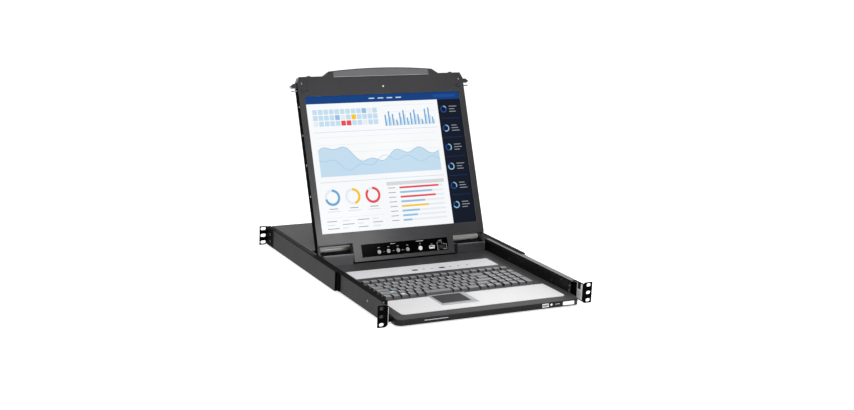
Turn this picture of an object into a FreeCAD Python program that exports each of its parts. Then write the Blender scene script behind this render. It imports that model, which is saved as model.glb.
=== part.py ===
import FreeCAD, Part
import math, os

# Rack-mount LCD console drawer, 1U high, 19-inch rack width.
# Frame: X right, Y to the rear, Z up.  Origin: centre of the front rack-hole
# pattern, in the front face of the front ears.  Millimetres.
# Rest pose: drawer pushed in, lid standing open.

os.makedirs("parts", exist_ok=True)
V = FreeCAD.Vector

# ------------------------------------------------------------ driving sizes
RACK_HOLE_X = 232.55        # half of the 465.1 hole spacing
RACK_HOLE_Z = 15.875        # half of the 31.75 hole spacing
EAR_OUT = 241.3             # half of 482.6 over the ears
EAR_Z = 21.8
EAR_T = 2.0

CH_X = 220.0                # chassis half width outside
CH_T = 1.2
CH_Z0, CH_Z1 = -18.0, 20.0
CH_Y0, CH_Y1 = 1.5, 640.0
CH_BOTTOM_Y0 = 16.0
FLANGE_IN = 206.6
FLANGE_Y0 = 29.0
COVER_Y0 = 470.0
COVER_X = 209.5
GROOVE_X = 213.4          # outer edge of the grooves beside the cover
GROOVE_Y0 = 380.0
BRIDGE_Y0 = 427.0
TAB_Y0 = 409.5

EAR_REAR_Y = 638.0          # rear face of the rear ears
BR_X0, BR_X1 = 224.0, 225.6
BR_Y0 = 240.0
BR_Z0, BR_Z1 = -19.6, 21.5

SL_ZC = 1.0                 # slide centre height
SL_Y0, SL_Y1 = 38.0, 438.0

DR_X = 206.0                # drawer tray half width outside
DR_T = 1.2
DR_Z0 = -15.5
DR_WALL_Z = 17.5
DR_Y0, DR_Y1 = 14.0, 440.0
DR_WALL_Y0 = 33.0

DECK_Z = -5.0
DECK_T = 1.5
DECK_X = 204.5
DECK_Y1 = 430.0
WELL_X = 173.5
WELL_Y0, WELL_Y1 = 108.5, 234.5
TROUGH_X = 125.2
TROUGH_Y0, TROUGH_Y1 = 367.5, 410.5

BAR_Y0 = -12.0
BAR_Z0, BAR_Z1 = -19.0, -7.6
BAR_R = 14.0

KEY_U = 18.0
KEY_PITCH_Y = 19.1
KEY_X0 = -172.0
KEY_Z0, KEY_Z1 = -7.8, -0.8
ROW_Y = {"bottom": 120.2, "lower": 139.3, "home": 158.4,
         "upper": 177.5, "number": 196.6, "function": 224.0}
PAD_X0 = KEY_X0 + 15 * KEY_U + 2.0     # numeric block starts here

# lid: screen's bottom edge line and lean from the vertical
LID_Y, LID_Z = 394.0, 58.5
LID_LEAN = 22.0
LID_X = 203.5
LID_V0, LID_V1 = -24.5, 346.0
SKIRT_X, SKIRT_V = 122.6, -66.0
LID_T = 17.5
LID_SPLIT = 8.0
LID_WALL = 2.2
SCR_X, SCR_H = 189.0, 302.4
AXIS_Y, AXIS_Z = 386.0, 12.0           # lid hinge axis, along X
SHAFT_R = 3.5
RUN_GAP = 0.05

_l = math.radians(LID_LEAN)
_dy, _dz = AXIS_Y - LID_Y, AXIS_Z - LID_Z
AX_V = _dy * math.sin(_l) + _dz * math.cos(_l)       # axis in lid coordinates
AX_W = _dy * math.cos(_l) - _dz * math.sin(_l)
print("hinge axis in lid coordinates: depth %.2f, height %.2f" % (AX_W, AX_V))


# ------------------------------------------------------------ helpers
def box(x0, x1, y0, y1, z0, z1):
    return Part.makeBox(x1 - x0, y1 - y0, z1 - z0, V(x0, y0, z0))


def cyl(r, h, p, d):
    return Part.makeCylinder(r, h, V(*p), V(*d))


def mir(s):
    return s.mirror(V(0, 0, 0), V(1, 0, 0))


def poly(pts):
    pts = [V(*p) for p in pts]
    return Part.Face(Part.makePolygon(pts + [pts[0]]))


def prism_y(pts, y0, y1):
    return poly([(x, y0, z) for x, z in pts]).extrude(V(0, y1 - y0, 0))


def prism_x(pts, x0, x1):
    return poly([(x0, y, z) for y, z in pts]).extrude(V(x1 - x0, 0, 0))


def prism_z(pts, z0, z1):
    return poly([(x, y, z0) for x, y in pts]).extrude(V(0, 0, z1 - z0))


def fuse(*s):
    r = s[0]
    if len(s) > 1:
        r = r.fuse(list(s[1:]))
    return r.removeSplitter()


def cut(a, *b):
    for k in b:
        a = a.cut(k)
    return a


def slot_y(xc, zc, length, width, y0, y1):
    """A slot along X with round ends, cut along Y."""
    r = width / 2.0
    h = (length - width) / 2.0
    return fuse(box(xc - h, xc + h, y0, y1, zc - r, zc + r),
                cyl(r, y1 - y0, (xc - h, y0, zc), (0, 1, 0)),
                cyl(r, y1 - y0, (xc + h, y0, zc), (0, 1, 0)))


def comp(solids):
    out = []
    for s in solids:
        out += s.Solids
    return Part.makeCompound(out)


def lid(s):
    """Lid coordinates (x, depth behind the front face, height) to the frame."""
    s = s.copy()
    s.rotate(V(0, 0, 0), V(1, 0, 0), -LID_LEAN)
    s.translate(V(0, LID_Y, LID_Z))
    return s


parts = {}


def save(name, shape):
    parts[name] = shape
    for i, s in enumerate(shape.Solids):
        if not s.isValid() or s.Volume <= 0:
            print("BAD", name, i, s.isValid(), s.Volume)
    print("%-24s solids %3d  vol %10.1f mm3" % (name, len(shape.Solids), shape.Volume))


def fillet(s, r, test):
    es = [e for e in s.Edges if test(e)]
    if not es:
        return s
    try:
        f = s.makeFillet(r, es)
        return f if f.isValid() else s
    except Exception as ex:
        print("fillet skipped:", ex)
        return s


def chamfer(s, r, test):
    es = [e for e in s.Edges if test(e)]
    if not es:
        return s
    try:
        f = s.makeChamfer(r, es)
        return f if f.isValid() else s
    except Exception as ex:
        print("chamfer skipped:", ex)
        return s


def along(e, axis):
    if len(e.Vertexes) != 2:
        return False
    d = e.Vertexes[1].Point.sub(e.Vertexes[0].Point)
    if d.Length < 1e-6:
        return False
    d.normalize()
    return abs(abs(d.dot(V(*axis))) - 1) < 1e-6


# ============================================================ CHASSIS
bottom = box(-CH_X, CH_X, CH_BOTTOM_Y0, CH_Y1, CH_Z0, CH_Z0 + CH_T)
side = box(CH_X - CH_T, CH_X, CH_Y0, CH_Y1, CH_Z0, CH_Z1)
fl_front = cut(box(FLANGE_IN, CH_X, FLANGE_Y0, COVER_Y0, CH_Z1 - CH_T, CH_Z1),
               box(COVER_X, GROOVE_X, GROOVE_Y0, COVER_Y0 + 1, CH_Z1 - CH_T - 1, CH_Z1 + 1))
fl_rear = box(GROOVE_X, CH_X, COVER_Y0, CH_Y1, CH_Z1 - CH_T, CH_Z1)
# floor of the groove: joins the strip beside the drawer to the outer band
ledge = fuse(box(COVER_X - 1.0, GROOVE_X + 1.2, GROOVE_Y0 - 1.2, COVER_Y0, CH_Z1 - 2 * CH_T, CH_Z1 - CH_T),
             box(COVER_X + 0.3, GROOVE_X + 1.2, COVER_Y0, CH_Y1 - 1.7, CH_Z1 - 2 * CH_T, CH_Z1 - CH_T))
# tab beside the stop bar's left end carries the top surface forward
tab = box(-FLANGE_IN - 1, -190.0, TAB_Y0, BRIDGE_Y0 + 1, CH_Z1 - CH_T, CH_Z1)
# bridge across the top behind the lid's stop bar, and a stiffening strip
# below it on which the rear cover's front edge rests
bridge = box(-FLANGE_IN - 1, FLANGE_IN + 1, BRIDGE_Y0, COVER_Y0, CH_Z1 - CH_T, CH_Z1)
cross = box(-COVER_X, COVER_X, COVER_Y0 - 6, COVER_Y0 + 6, CH_Z1 - 2 * CH_T, CH_Z1 - CH_T)
pan = fuse(bottom, side, mir(side), fl_front, mir(fl_front), fl_rear, mir(fl_rear),
           ledge, mir(ledge), bridge, cross, tab)
holes = []
for y in (92.0, 300.0, 410.0):
    holes.append(cyl(1.6, 2 * CH_X + 2, (-CH_X - 1, y, 3.0), (1, 0, 0)))
for x in (-150, -50, 50, 150):
    for y in (500, 520, 540, 560, 580):
        holes.append(slot_y(x, 0, 60, 3.0, -1, 1))
        h = holes.pop()
        h.rotate(V(0, 0, 0), V(1, 0, 0), 90)
        h.translate(V(0, y, CH_Z0 + CH_T / 2))
        holes.append(h)
pan = cut(pan, *holes)
save("chassis_pan", pan)

cover = fuse(box(-COVER_X, COVER_X, COVER_Y0 + 0.3, CH_Y1 - 1.6, CH_Z1 - CH_T, CH_Z1),
             box(-COVER_X, -COVER_X + CH_T, COVER_Y0 + 8, CH_Y1 - 4, CH_Z1 - 10, CH_Z1),
             box(COVER_X - CH_T, COVER_X, COVER_Y0 + 8, CH_Y1 - 4, CH_Z1 - 10, CH_Z1))
save("rear_top_cover", cover)

# ports on the rear panel: x centre, z centre, width, height
DSUB = [(-172.0, 2.0), (-128.0, 2.0)]
RJ = [(-84.0, 2.0), (-62.0, 2.0)]
USBB = [(-30.0, 2.0), (-6.0, 2.0)]
INLET_X, INLET_Z = 168.0, 1.5
ROCKER_X, ROCKER_Z = 128.0, 1.5
rp = box(-(CH_X - CH_T), CH_X - CH_T, CH_Y1 - 1.4, CH_Y1, CH_Z0 + CH_T, CH_Z1 - CH_T)
cuts = []
for x, z in DSUB:
    cuts.append(box(x - 10, x + 10, CH_Y1 - 3, CH_Y1 + 1, z - 5.6, z + 5.6))
    for s in (-1, 1):
        cuts.append(cyl(1.7, 4, (x + s * 15.0, CH_Y1 - 3, z), (0, 1, 0)))
for x, z in RJ:
    cuts.append(box(x - 8.2, x + 8.2, CH_Y1 - 3, CH_Y1 + 1, z - 6.8, z + 6.8))
for x, z in USBB:
    cuts.append(box(x - 6.2, x + 6.2, CH_Y1 - 3, CH_Y1 + 1, z - 5.7, z + 5.7))
cuts.append(box(INLET_X - 14, INLET_X + 14, CH_Y1 - 3, CH_Y1 + 1, INLET_Z - 10, INLET_Z + 10))
cuts.append(box(ROCKER_X - 7, ROCKER_X + 7, CH_Y1 - 3, CH_Y1 + 1, ROCKER_Z - 10, ROCKER_Z + 10))
rp = cut(rp, *cuts)
save("rear_panel", rp)

# front ears: plate with three slots, and a return flange on the chassis side
ear = prism_y([(CH_X, -18.6), (224.6, -EAR_Z), (EAR_OUT, -EAR_Z), (EAR_OUT, EAR_Z),
               (224.6, EAR_Z), (CH_X, 18.6)], 0, EAR_T)
ear = chamfer(ear, 0.8, lambda e: along(e, (0, 1, 0)) and e.Vertexes[0].Point.x > EAR_OUT - 0.1)
ear = fuse(ear, box(CH_X, CH_X + 1.6, EAR_T, 20, -14, 14))
for z in (-RACK_HOLE_Z, 0, RACK_HOLE_Z):
    ear = cut(ear, slot_y(RACK_HOLE_X, z, 10.0, 6.8, -1, EAR_T + 1))
save("front_ear_right", ear)
save("front_ear_left", mir(ear))

# slide outer rails, with the keeper notch for the lid's side bolts
H_O, H_M, H_I = 16.0, 10.9, 5.7
web = box(CH_X - CH_T - 1.2, CH_X - CH_T, 2.2, SL_Y1 + 2, SL_ZC - H_O, SL_ZC + H_O)
lip = box(211.5, CH_X - CH_T, SL_Y0 - 4, SL_Y1 + 2, SL_ZC + H_O - 1.2, SL_ZC + H_O)
lip2 = box(211.5, CH_X - CH_T, SL_Y0 - 4, SL_Y1 + 2, SL_ZC - H_O, SL_ZC - H_O + 1.2)
outer = fuse(web, lip, lip2)
outer = cut(outer, box(210, CH_X, 7.0, 18.8, 5.0, SL_ZC + H_O + 1))
save("slide_outer_rails", comp([outer, mir(outer)]))

mid = fuse(box(213.6, 214.8, SL_Y0, SL_Y1, SL_ZC - H_M, SL_ZC + H_M),
           box(208.9, 214.8, SL_Y0, SL_Y1, SL_ZC + H_M - 1.2, SL_ZC + H_M),
           box(208.9, 214.8, SL_Y0, SL_Y1, SL_ZC - H_M, SL_ZC - H_M + 1.2))
save("slide_middle_rails", comp([mid, mir(mid)]))

inner = fuse(box(DR_X, DR_X + 1.2, SL_Y0, SL_Y1, SL_ZC - H_I, SL_ZC + H_I),
             box(DR_X, 212.0, SL_Y0, SL_Y1, SL_ZC + H_I - 1.2, SL_ZC + H_I),
             box(DR_X, 212.0, SL_Y0, SL_Y1, SL_ZC - H_I, SL_ZC - H_I + 1.2))
save("slide_inner_rails", comp([inner, mir(inner)]))

# ball cages: a strip with balls, in the gaps above and below the middle rail
cages = []
for s in (1, -1):
    for xb, zlo, zhi in ((213.2, H_M, H_O - 1.2), (210.4, H_I, H_M - 1.2)):
        zc = SL_ZC + s * (zlo + zhi) / 2.0
        r = (zhi - zlo) / 2.0 - 0.3
        strip = box(xb - 1.2, xb + 1.2, SL_Y0 + 60, SL_Y1 - 120, zc - 0.5, zc + 0.5)
        balls = [Part.makeSphere(r, V(xb, SL_Y0 + 70 + 40 * i, zc)) for i in range(6)]
        c = fuse(strip, *balls)
        cages += [c, mir(c)]
save("slide_ball_cages", comp(cages))

# black end guides on the chassis sides, ahead of and under the rear brackets
gl = [box(CH_X, 222.6, 226.0, 239.4, -17.0, 19.0)]
for z in (-15.0, 10.0):
    gl.append(box(CH_X, 223.7, 300.0, 620.0, z, z + 6.0))
save("bracket_glides", comp([comp(gl), mir(comp(gl))]))

# ------------------------------------------------ rear brackets with ears
def rear_bracket():
    b = fuse(box(BR_X0, BR_X1, BR_Y0, EAR_REAR_Y, BR_Z0, BR_Z1),
             box(216.5, BR_X1, BR_Y0, EAR_REAR_Y - 4, BR_Z1 - 1.2, BR_Z1),
             box(216.5, BR_X1, BR_Y0, EAR_REAR_Y - 4, BR_Z0, BR_Z0 + 1.3),
             prism_y([(BR_X0, -18.6), (227.6, -EAR_Z), (EAR_OUT, -EAR_Z), (EAR_OUT, EAR_Z),
                      (227.6, EAR_Z), (BR_X0, 18.6)], EAR_REAR_Y - EAR_T, EAR_REAR_Y))
    for z in (-RACK_HOLE_Z, 0, RACK_HOLE_Z):
        b = cut(b, slot_y(RACK_HOLE_X, z, 12.6, 7.2, EAR_REAR_Y - 4, EAR_REAR_Y + 1))
    for z in (9.0, -7.0):
        boss = cyl(3.2, 1.2, (BR_X1, 606.0, z), (1, 0, 0))
        b = fuse(b, boss)
        b = cut(b, cyl(1.7, 6, (BR_X0 - 1, 606.0, z), (1, 0, 0)))
    return b


br = rear_bracket()
save("rear_bracket_right", br)
save("rear_bracket_left", mir(br))

# pan-head screws that hold the slides to the chassis sides
scr = []
for y in (92.0, 300.0, 410.0):
    hd = cyl(2.8, 1.2, (CH_X, y, 3.0), (1, 0, 0))
    sh = cyl(1.5, 2.4, (CH_X - 2.4, y, 3.0), (1, 0, 0))
    s = fuse(hd, sh)
    if y > BR_Y0:
        s = fuse(cyl(2.8, 1.0, (CH_X, y, 3.0), (1, 0, 0)), sh)
    scr += [s, mir(s)]
save("chassis_screws", comp(scr))
# the slide webs have matching clearance for the screw shanks
op = [cyl(1.5, 2 * CH_X, (-CH_X, y, 3.0), (1, 0, 0)) for y in (92.0, 300.0, 410.0)]
outer = cut(outer, *op)
save("slide_outer_rails", comp([outer, mir(outer)]))

# ------------------------------------------------ electronics in the rear bay
board = [box(-196, 20, 486, 632, -13.4, -11.8)]
for x, y in ((-188, 494), (12, 494), (-188, 622), (12, 622)):
    board.append(cyl(3.0, -13.4 - (CH_Z0 + CH_T), (x, y, CH_Z0 + CH_T), (0, 0, 1)))
for x, y, w, d, h in ((-150, 540, 28, 28, 2.2), (-90, 530, 20, 20, 2.0), (-60, 560, 14, 20, 1.8), (-120, 580, 14, 10, 1.6), (-30, 545, 24, 24, 10)):
    board.append(box(x, x + w, y, y + d, -11.8, -11.8 + h))
save("switch_board", comp(board))

psu = box(96, 200, 488, 598, CH_Z0 + CH_T, 14.0)
psu = cut(psu, box(97.2, 198.8, 489.2, 596.8, CH_Z0 + CH_T + 1.2, 12.8))
for i in range(7):
    psu = cut(psu, box(106 + 13 * i, 112 + 13 * i, 500, 560, 12, 15))
psu_in = comp([psu, box(104, 140, 500, 530, CH_Z0 + CH_T + 1.2, 6.0), box(150, 190, 510, 540, CH_Z0 + CH_T + 1.2, 2.0),
               cyl(9, 20, (120, 565, CH_Z0 + CH_T + 1.2), (0, 0, 1))])
save("power_supply", psu_in)

# mains inlet: flanged body with a socket well and three blades
ib = fuse(box(INLET_X - 13.6, INLET_X + 13.6, CH_Y1 - 22, CH_Y1 + 1.0, INLET_Z - 9.6, INLET_Z + 9.6),
          box(INLET_X - 24.5, INLET_X + 24.5, CH_Y1, CH_Y1 + 1.8, INLET_Z - 11.5, INLET_Z + 11.5))
well = box(INLET_X - 12.0, INLET_X + 12.0, CH_Y1 - 15.0, CH_Y1 + 3, INLET_Z - 8.0, INLET_Z + 8.0)
ib = cut(ib, well, cyl(1.7, 6, (INLET_X - 20, CH_Y1 - 2, INLET_Z), (0, 1, 0)),
         cyl(1.7, 6, (INLET_X + 20, CH_Y1 - 2, INLET_Z), (0, 1, 0)))
pins = [box(INLET_X + dx - 1.0, INLET_X + dx + 1.0, CH_Y1 - 15.0, CH_Y1 - 1.5, INLET_Z + dz - 2.0, INLET_Z + dz + 2.0)
        for dx, dz in ((-7.0, -1.4), (7.0, -1.4), (0.0, 2.6))]
save("power_inlet", comp([ib] + pins))

pr = []
for x, z in DSUB:
    shell = box(x - 9.6, x + 9.6, CH_Y1 - 10, CH_Y1 + 5.5, z - 5.2, z + 5.2)
    shell = cut(shell, box(x - 8.4, x + 8.4, CH_Y1 + 1.0, CH_Y1 + 6, z - 4.0, z + 4.0))
    pr.append(shell)
for x, z in RJ:
    j = box(x - 7.9, x + 7.9, CH_Y1 - 14, CH_Y1 + 1.2, z - 6.5, z + 6.5)
    j = cut(j, box(x - 6.0, x + 6.0, CH_Y1 - 11, CH_Y1 + 2, z - 4.6, z + 3.6))
    pr.append(j)
for x, z in USBB:
    j = box(x - 6.0, x + 6.0, CH_Y1 - 14, CH_Y1 + 1.2, z - 5.5, z + 5.5)
    j = cut(j, box(x - 4.3, x + 4.3, CH_Y1 - 8, CH_Y1 + 2, z - 4.0, z + 4.0))
    pr.append(j)
save("rear_ports", comp(pr))

# rocker switch: rocks about an X axis
rk = prism_x([(CH_Y1 + 3.2, ROCKER_Z - 8.6), (CH_Y1 + 1.0, ROCKER_Z), (CH_Y1 + 1.0, ROCKER_Z + 8.6),
              (CH_Y1 - 8.0, ROCKER_Z + 6.4), (CH_Y1 - 8.0, ROCKER_Z - 6.4)], ROCKER_X - 5.8, ROCKER_X + 5.8)
save("power_rocker", rk)

# ============================================================ DRAWER
tb = box(-DR_X, DR_X, DR_Y0 + 0.2, DR_Y1, DR_Z0, DR_Z0 + DR_T)
tw = box(DR_X - DR_T, DR_X, DR_WALL_Y0, DR_Y1, DR_Z0, DR_WALL_Z)
tr = box(-DR_X, DR_X, DR_Y1 - DR_T, DR_Y1, DR_Z0, 8.0)
tray = fuse(tb, tw, mir(tw), tr)
tray = cut(tray, box(-60, 60, DR_Y1 - 5, DR_Y1 + 1, -8, 4))
save("drawer_tray", tray)

# bar along the front: the lower handle
def plan_bar(x, y0, y1, r, z0, z1):
    """Plan outline with round front corners."""
    b = box(-x, x, y0, y1, z0, z1)
    return fillet(b, r, lambda e: along(e, (0, 0, 1)) and e.Vertexes[0].Point.y < y0 + 0.1)


bar = plan_bar(DR_X, BAR_Y0, DR_Y0, BAR_R, BAR_Z0, BAR_Z1)
bar = chamfer(bar, 1.2, lambda e: e.BoundBox.ZMin > BAR_Z1 - 0.01 and e.BoundBox.YMax < DR_Y0 - 0.1 and e.BoundBox.XLength > 100)
bar = fuse(bar, box(-190, 190, DR_Y0, 26, DR_Z0 + DR_T, -11.4))
USB_X, USB_Z = 123.7, -12.6
bar = cut(bar, box(USB_X - 7.4, USB_X + 7.4, BAR_Y0 - 1, BAR_Y0 + 14.6, USB_Z - 3.7, USB_Z + 3.7))
LAB_X0, LAB_X1 = 164.6, 191.6
bar = cut(bar, box(LAB_X0, LAB_X1, BAR_Y0 - 1, BAR_Y0 + 0.8, -16.8, -8.9))
save("front_bar", bar)
save("front_label_plate", box(LAB_X0, LAB_X1, BAR_Y0 + 0.0, BAR_Y0 + 0.8, -16.8, -8.9))
us = box(USB_X - 7.4, USB_X + 7.4, BAR_Y0, BAR_Y0 + 14.6, USB_Z - 3.7, USB_Z + 3.7)
us = cut(us, box(USB_X - 6.3, USB_X + 6.3, BAR_Y0 - 1, BAR_Y0 + 12.0, USB_Z - 2.6, USB_Z + 2.6))
save("front_usb_port", us)

# keyboard deck: one moulded cover from the front apron to behind the hinges
prof = [(BAR_Y0 + 3.2, BAR_Z1), (9.0, DECK_Z), (DECK_Y1, DECK_Z), (DECK_Y1, DR_Z0 + DR_T),
        (DR_Y0 + 0.2, DR_Z0 + DR_T), (DR_Y0 + 0.2, BAR_Z1)]
deck = prism_x(prof, -DECK_X, DECK_X)
plan = plan_bar(DECK_X, BAR_Y0 + 3.2, DECK_Y1, BAR_R - 3.0, DR_Z0, DECK_Z + 1)
deck = deck.common(plan)
deck = cut(deck, box(-DECK_X + DECK_T, DECK_X - DECK_T, DR_Y0, DECK_Y1 - DECK_T, DR_Z0, DECK_Z - DECK_T))
ring_t = cut(box(-TROUGH_X - DECK_T, TROUGH_X + DECK_T, TROUGH_Y0 - DECK_T, TROUGH_Y1 + DECK_T, DR_Z0 + DR_T, DECK_Z))
ring_w = box(-WELL_X - DECK_T, WELL_X + DECK_T, WELL_Y0 - DECK_T, WELL_Y1 + DECK_T, -12.4, DECK_Z)
deck = fuse(deck, ring_t, ring_w)
deck = cut(deck, box(-TROUGH_X, TROUGH_X, TROUGH_Y0, TROUGH_Y1, DR_Z0, DECK_Z + 1),
           box(-WELL_X, WELL_X, WELL_Y0, WELL_Y1, DR_Z0, DECK_Z + 1))
save("keyboard_deck", deck)

# palm rest, with a notch for the touchpad
PALM_X, PALM_Y0, PALM_Y1 = 185.0, 9.6, 98.5
TP_X0, TP_X1, TP_Y0, TP_Y1 = -84.0, -1.0, 34.8, 102.2
palm = box(-PALM_X, PALM_X, PALM_Y0, PALM_Y1, DECK_Z, DECK_Z + 0.8)
palm = fillet(palm, 9.0, lambda e: along(e, (0, 0, 1)) and e.Vertexes[0].Point.y < PALM_Y0 + 0.1)
palm = cut(palm, box(TP_X0, TP_X1, TP_Y0, TP_Y1 + 5, DECK_Z - 1, DECK_Z + 2))
save("palm_rest", palm)

# touchpad: frame, pad and two buttons
PD_X0, PD_X1, PD_Y0, PD_Y1 = -79.0, -13.3, 46.4, 98.5
tpf = box(TP_X0, TP_X1, TP_Y0, TP_Y1, DECK_Z, DECK_Z + 1.6)
tpf = chamfer(tpf, 0.8, lambda e: e.BoundBox.ZMin > DECK_Z + 1.5)
bt_y0, bt_y1 = 37.0, 44.8
bl = (-81.0, -43.7)
brr = (-41.3, -4.0)
tpf = cut(tpf, box(PD_X0, PD_X1, PD_Y0, PD_Y1, DECK_Z + 0.6, DECK_Z + 2),
          box(bl[0] - 0.4, bl[1] + 0.4, bt_y0 - 0.4, bt_y1 + 0.4, DECK_Z - 1, DECK_Z + 2),
          box(brr[0] - 0.4, brr[1] + 0.4, bt_y0 - 0.4, bt_y1 + 0.4, DECK_Z - 1, DECK_Z + 2))
save("touchpad_bezel", tpf)
save("touchpad_pad", box(PD_X0, PD_X1, PD_Y0, PD_Y1, DECK_Z + 0.6, DECK_Z + 1.2))
# the buttons reach down through windows in the deck
win = box(bl[0] - 0.4, brr[1] + 0.4, bt_y0 - 0.4, bt_y1 + 0.4, DECK_Z - 3, DECK_Z + 1)
deck = cut(deck, win)
save("keyboard_deck", deck)
save("touchpad_button_left", box(bl[0], bl[1], bt_y0, bt_y1, DECK_Z - 1.2, DECK_Z + 1.5))
save("touchpad_button_right", box(brr[0], brr[1], bt_y0, bt_y1, DECK_Z - 1.2, DECK_Z + 1.5))

# accent strip with its indicator windows
AS_X, AS_Y0, AS_Y1 = 169.7, 257.5, 311.0
strip = box(-AS_X, AS_X, AS_Y0, AS_Y1, DECK_Z, DECK_Z + 0.6)
ind = []
for x in (-23.6, 41.4):
    s = box(x - 7.0, x + 7.0, 273.5, 282.0, DECK_Z, DECK_Z + 0.6)
    s = fillet(s, 2.4, lambda e: along(e, (0, 0, 1)))
    ind.append(s)
for x in (-2.0, 17.7, 61.9, 81.7, 104.0):
    ind.append(cyl(2.8, 0.6, (x, 279.0, DECK_Z), (0, 0, 1)))
strip = cut(strip, *ind)
save("accent_strip", strip)
save("strip_indicators", comp(ind))

save("keyboard_base", box(-WELL_X + 0.3, WELL_X - 0.3, WELL_Y0 + 0.3, WELL_Y1 - 0.3, -12.4, -10.9))


# ------------------------------------------------ keys
def key(x0, x1, yc, depth, y_ext=0.0):
    """One keycap: a tapered block; y_ext lengthens it to the rear."""
    g = 0.5
    a0, a1 = x0 + g, x1 - g
    b0, b1 = yc - depth / 2.0, yc + depth / 2.0 + y_ext
    base = Part.makePolygon([V(a0, b0, KEY_Z0), V(a1, b0, KEY_Z0), V(a1, b1, KEY_Z0), V(a0, b1, KEY_Z0), V(a0, b0, KEY_Z0)])
    t = 1.9
    top = Part.makePolygon([V(a0 + t, b0 + 2.2, KEY_Z1), V(a1 - t, b0 + 2.2, KEY_Z1), V(a1 - t, b1 - 1.2, KEY_Z1),
                            V(a0 + t, b1 - 1.2, KEY_Z1), V(a0 + t, b0 + 2.2, KEY_Z1)])
    return Part.makeLoft([base, top], True, True)


KD = KEY_PITCH_Y - 1.2
LAYOUT = {
    "function": [1.0] * 15,
    "number": [1.0] * 13 + [2.0],
    "upper": [1.5] + [1.0] * 12 + [1.5],
    "home": [1.75] + [1.0] * 11 + [2.25],
    "lower": [2.25] + [1.0] * 10 + [1.75, 1.0],
    "bottom": [1.0] * 5 + [-3.5, 1.0, 1.0, 1.5, 1.0, 1.0, 1.0],
}
for row, units in LAYOUT.items():
    ks = []
    x = KEY_X0
    d = 13.4 if row == "function" else KD
    space = None
    for u in units:
        w = abs(u) * KEY_U
        if u < 0:
            space = key(x, x + w, ROW_Y[row], d)
        else:
            ks.append(key(x, x + w, ROW_Y[row], d))
        x += w
    # numeric block: four columns
    for c in range(4):
        px = PAD_X0 + c * KEY_U
        if row in ("function", "number") or c < 3:
            ks.append(key(px, px + KEY_U, ROW_Y[row], d))
    if row == "home":
        ks.append(key(PAD_X0 + 3 * KEY_U, PAD_X0 + 4 * KEY_U, ROW_Y[row], d, KEY_PITCH_Y))
    if row == "bottom":
        ks.append(key(PAD_X0 + 3 * KEY_U, PAD_X0 + 4 * KEY_U, ROW_Y[row], d, KEY_PITCH_Y))
    save("keys_%s_row" % row, comp(ks))
    if space is not None:
        save("key_space_bar", space)

# ------------------------------------------------ hinge blocks, shafts, bar
HB_X0, HB_X1, HB_Y0, HB_Y1, HB_Z1 = 127.4, 196.8, 365.6, 395.0, 17.0
SB_X0, SB_X1 = -186.0, 204.6            # left end in its post, right end at the tray wall
SB_Y, SB_Z, SB_R = 418.0, 16.4, 5.6
hb = box(HB_X0, HB_X1, HB_Y0, HB_Y1, DECK_Z, HB_Z1)
hb = fillet(hb, 1.4, lambda e: along(e, (1, 0, 0)) and e.Vertexes[0].Point.z > HB_Z1 - 0.1)
hb = fuse(hb, box(HB_X0, HB_X1, HB_Y1, 427.0, DECK_Z, DECK_Z + 3.0),
          box(HB_X0, HB_X0 + 8, 411.0, 425.0, DECK_Z, 13.0),
          box(HB_X1 - 22, HB_X1 - 14, 411.0, 425.0, DECK_Z, 13.0))
hb = cut(hb, cyl(SHAFT_R, HB_X1 - HB_X0 + 4, (HB_X0 - 2, AXIS_Y, AXIS_Z), (1, 0, 0)),
         cyl(SB_R, HB_X1 - HB_X0 + 4, (HB_X0 - 2, SB_Y, SB_Z), (1, 0, 0)))
save("hinge_block_right", hb)
save("hinge_block_left", mir(hb))
sh = fuse(cyl(SHAFT_R, 203.0 - 110.0, (110.0, AXIS_Y, AXIS_Z), (1, 0, 0)))
save("hinge_shafts", comp([sh, mir(sh)]))
save("lid_stop_bar", cyl(SB_R, SB_X1 - SB_X0, (SB_X0, SB_Y, SB_Z), (1, 0, 0)))

# ============================================================ LID
out = [(-LID_X, LID_V0), (-LID_X, 334.0), (-197.5, LID_V1), (197.5, LID_V1), (LID_X, 334.0),
       (LID_X, LID_V0), (SKIRT_X, LID_V0), (SKIRT_X, SKIRT_V), (-SKIRT_X, SKIRT_V), (-SKIRT_X, LID_V0)]
t = LID_WALL
inn = [(-LID_X + t, LID_V0 + t), (-LID_X + t, 333.4), (-197.5 + 1.4, LID_V1 - t), (197.5 - 1.4, LID_V1 - t),
       (LID_X - t, 333.4), (LID_X - t, LID_V0 + t), (SKIRT_X - t, LID_V0 + t), (SKIRT_X - t, SKIRT_V + t),
       (-SKIRT_X + t, SKIRT_V + t), (-SKIRT_X + t, LID_V0 + t)]
bore = cyl(SHAFT_R + RUN_GAP, 2 * LID_X + 10, (-LID_X - 5, AX_W, AX_V), (1, 0, 0))

BTN_X = [-62.3, -39.6, -16.4, 6.8]
BTN_V = -48.6
PWR_X = 38.1
PORT_X, SW_X0, SW_X1 = 66.6, 82.8, 101.6

bez = prism_y(out, 0, LID_SPLIT).cut(prism_y(inn, LID_WALL, LID_SPLIT + 1))
bez = cut(bez, box(-SCR_X, SCR_X, -1, LID_WALL + 1, 0, SCR_H), bore)
for x in BTN_X:
    bez = cut(bez, cyl(4.8, 6, (x, -2, BTN_V), (0, 1, 0)))
bez = cut(bez, cyl(5.4, 6, (PWR_X, -2, BTN_V), (0, 1, 0)),
          box(PORT_X - 6.8, PORT_X + 6.8, -2, 6, BTN_V - 3.6, BTN_V + 3.6),
          box(SW_X0 + 2.6, SW_X1 - 0.2, -2, 6, -52.8, -46.2))
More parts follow.
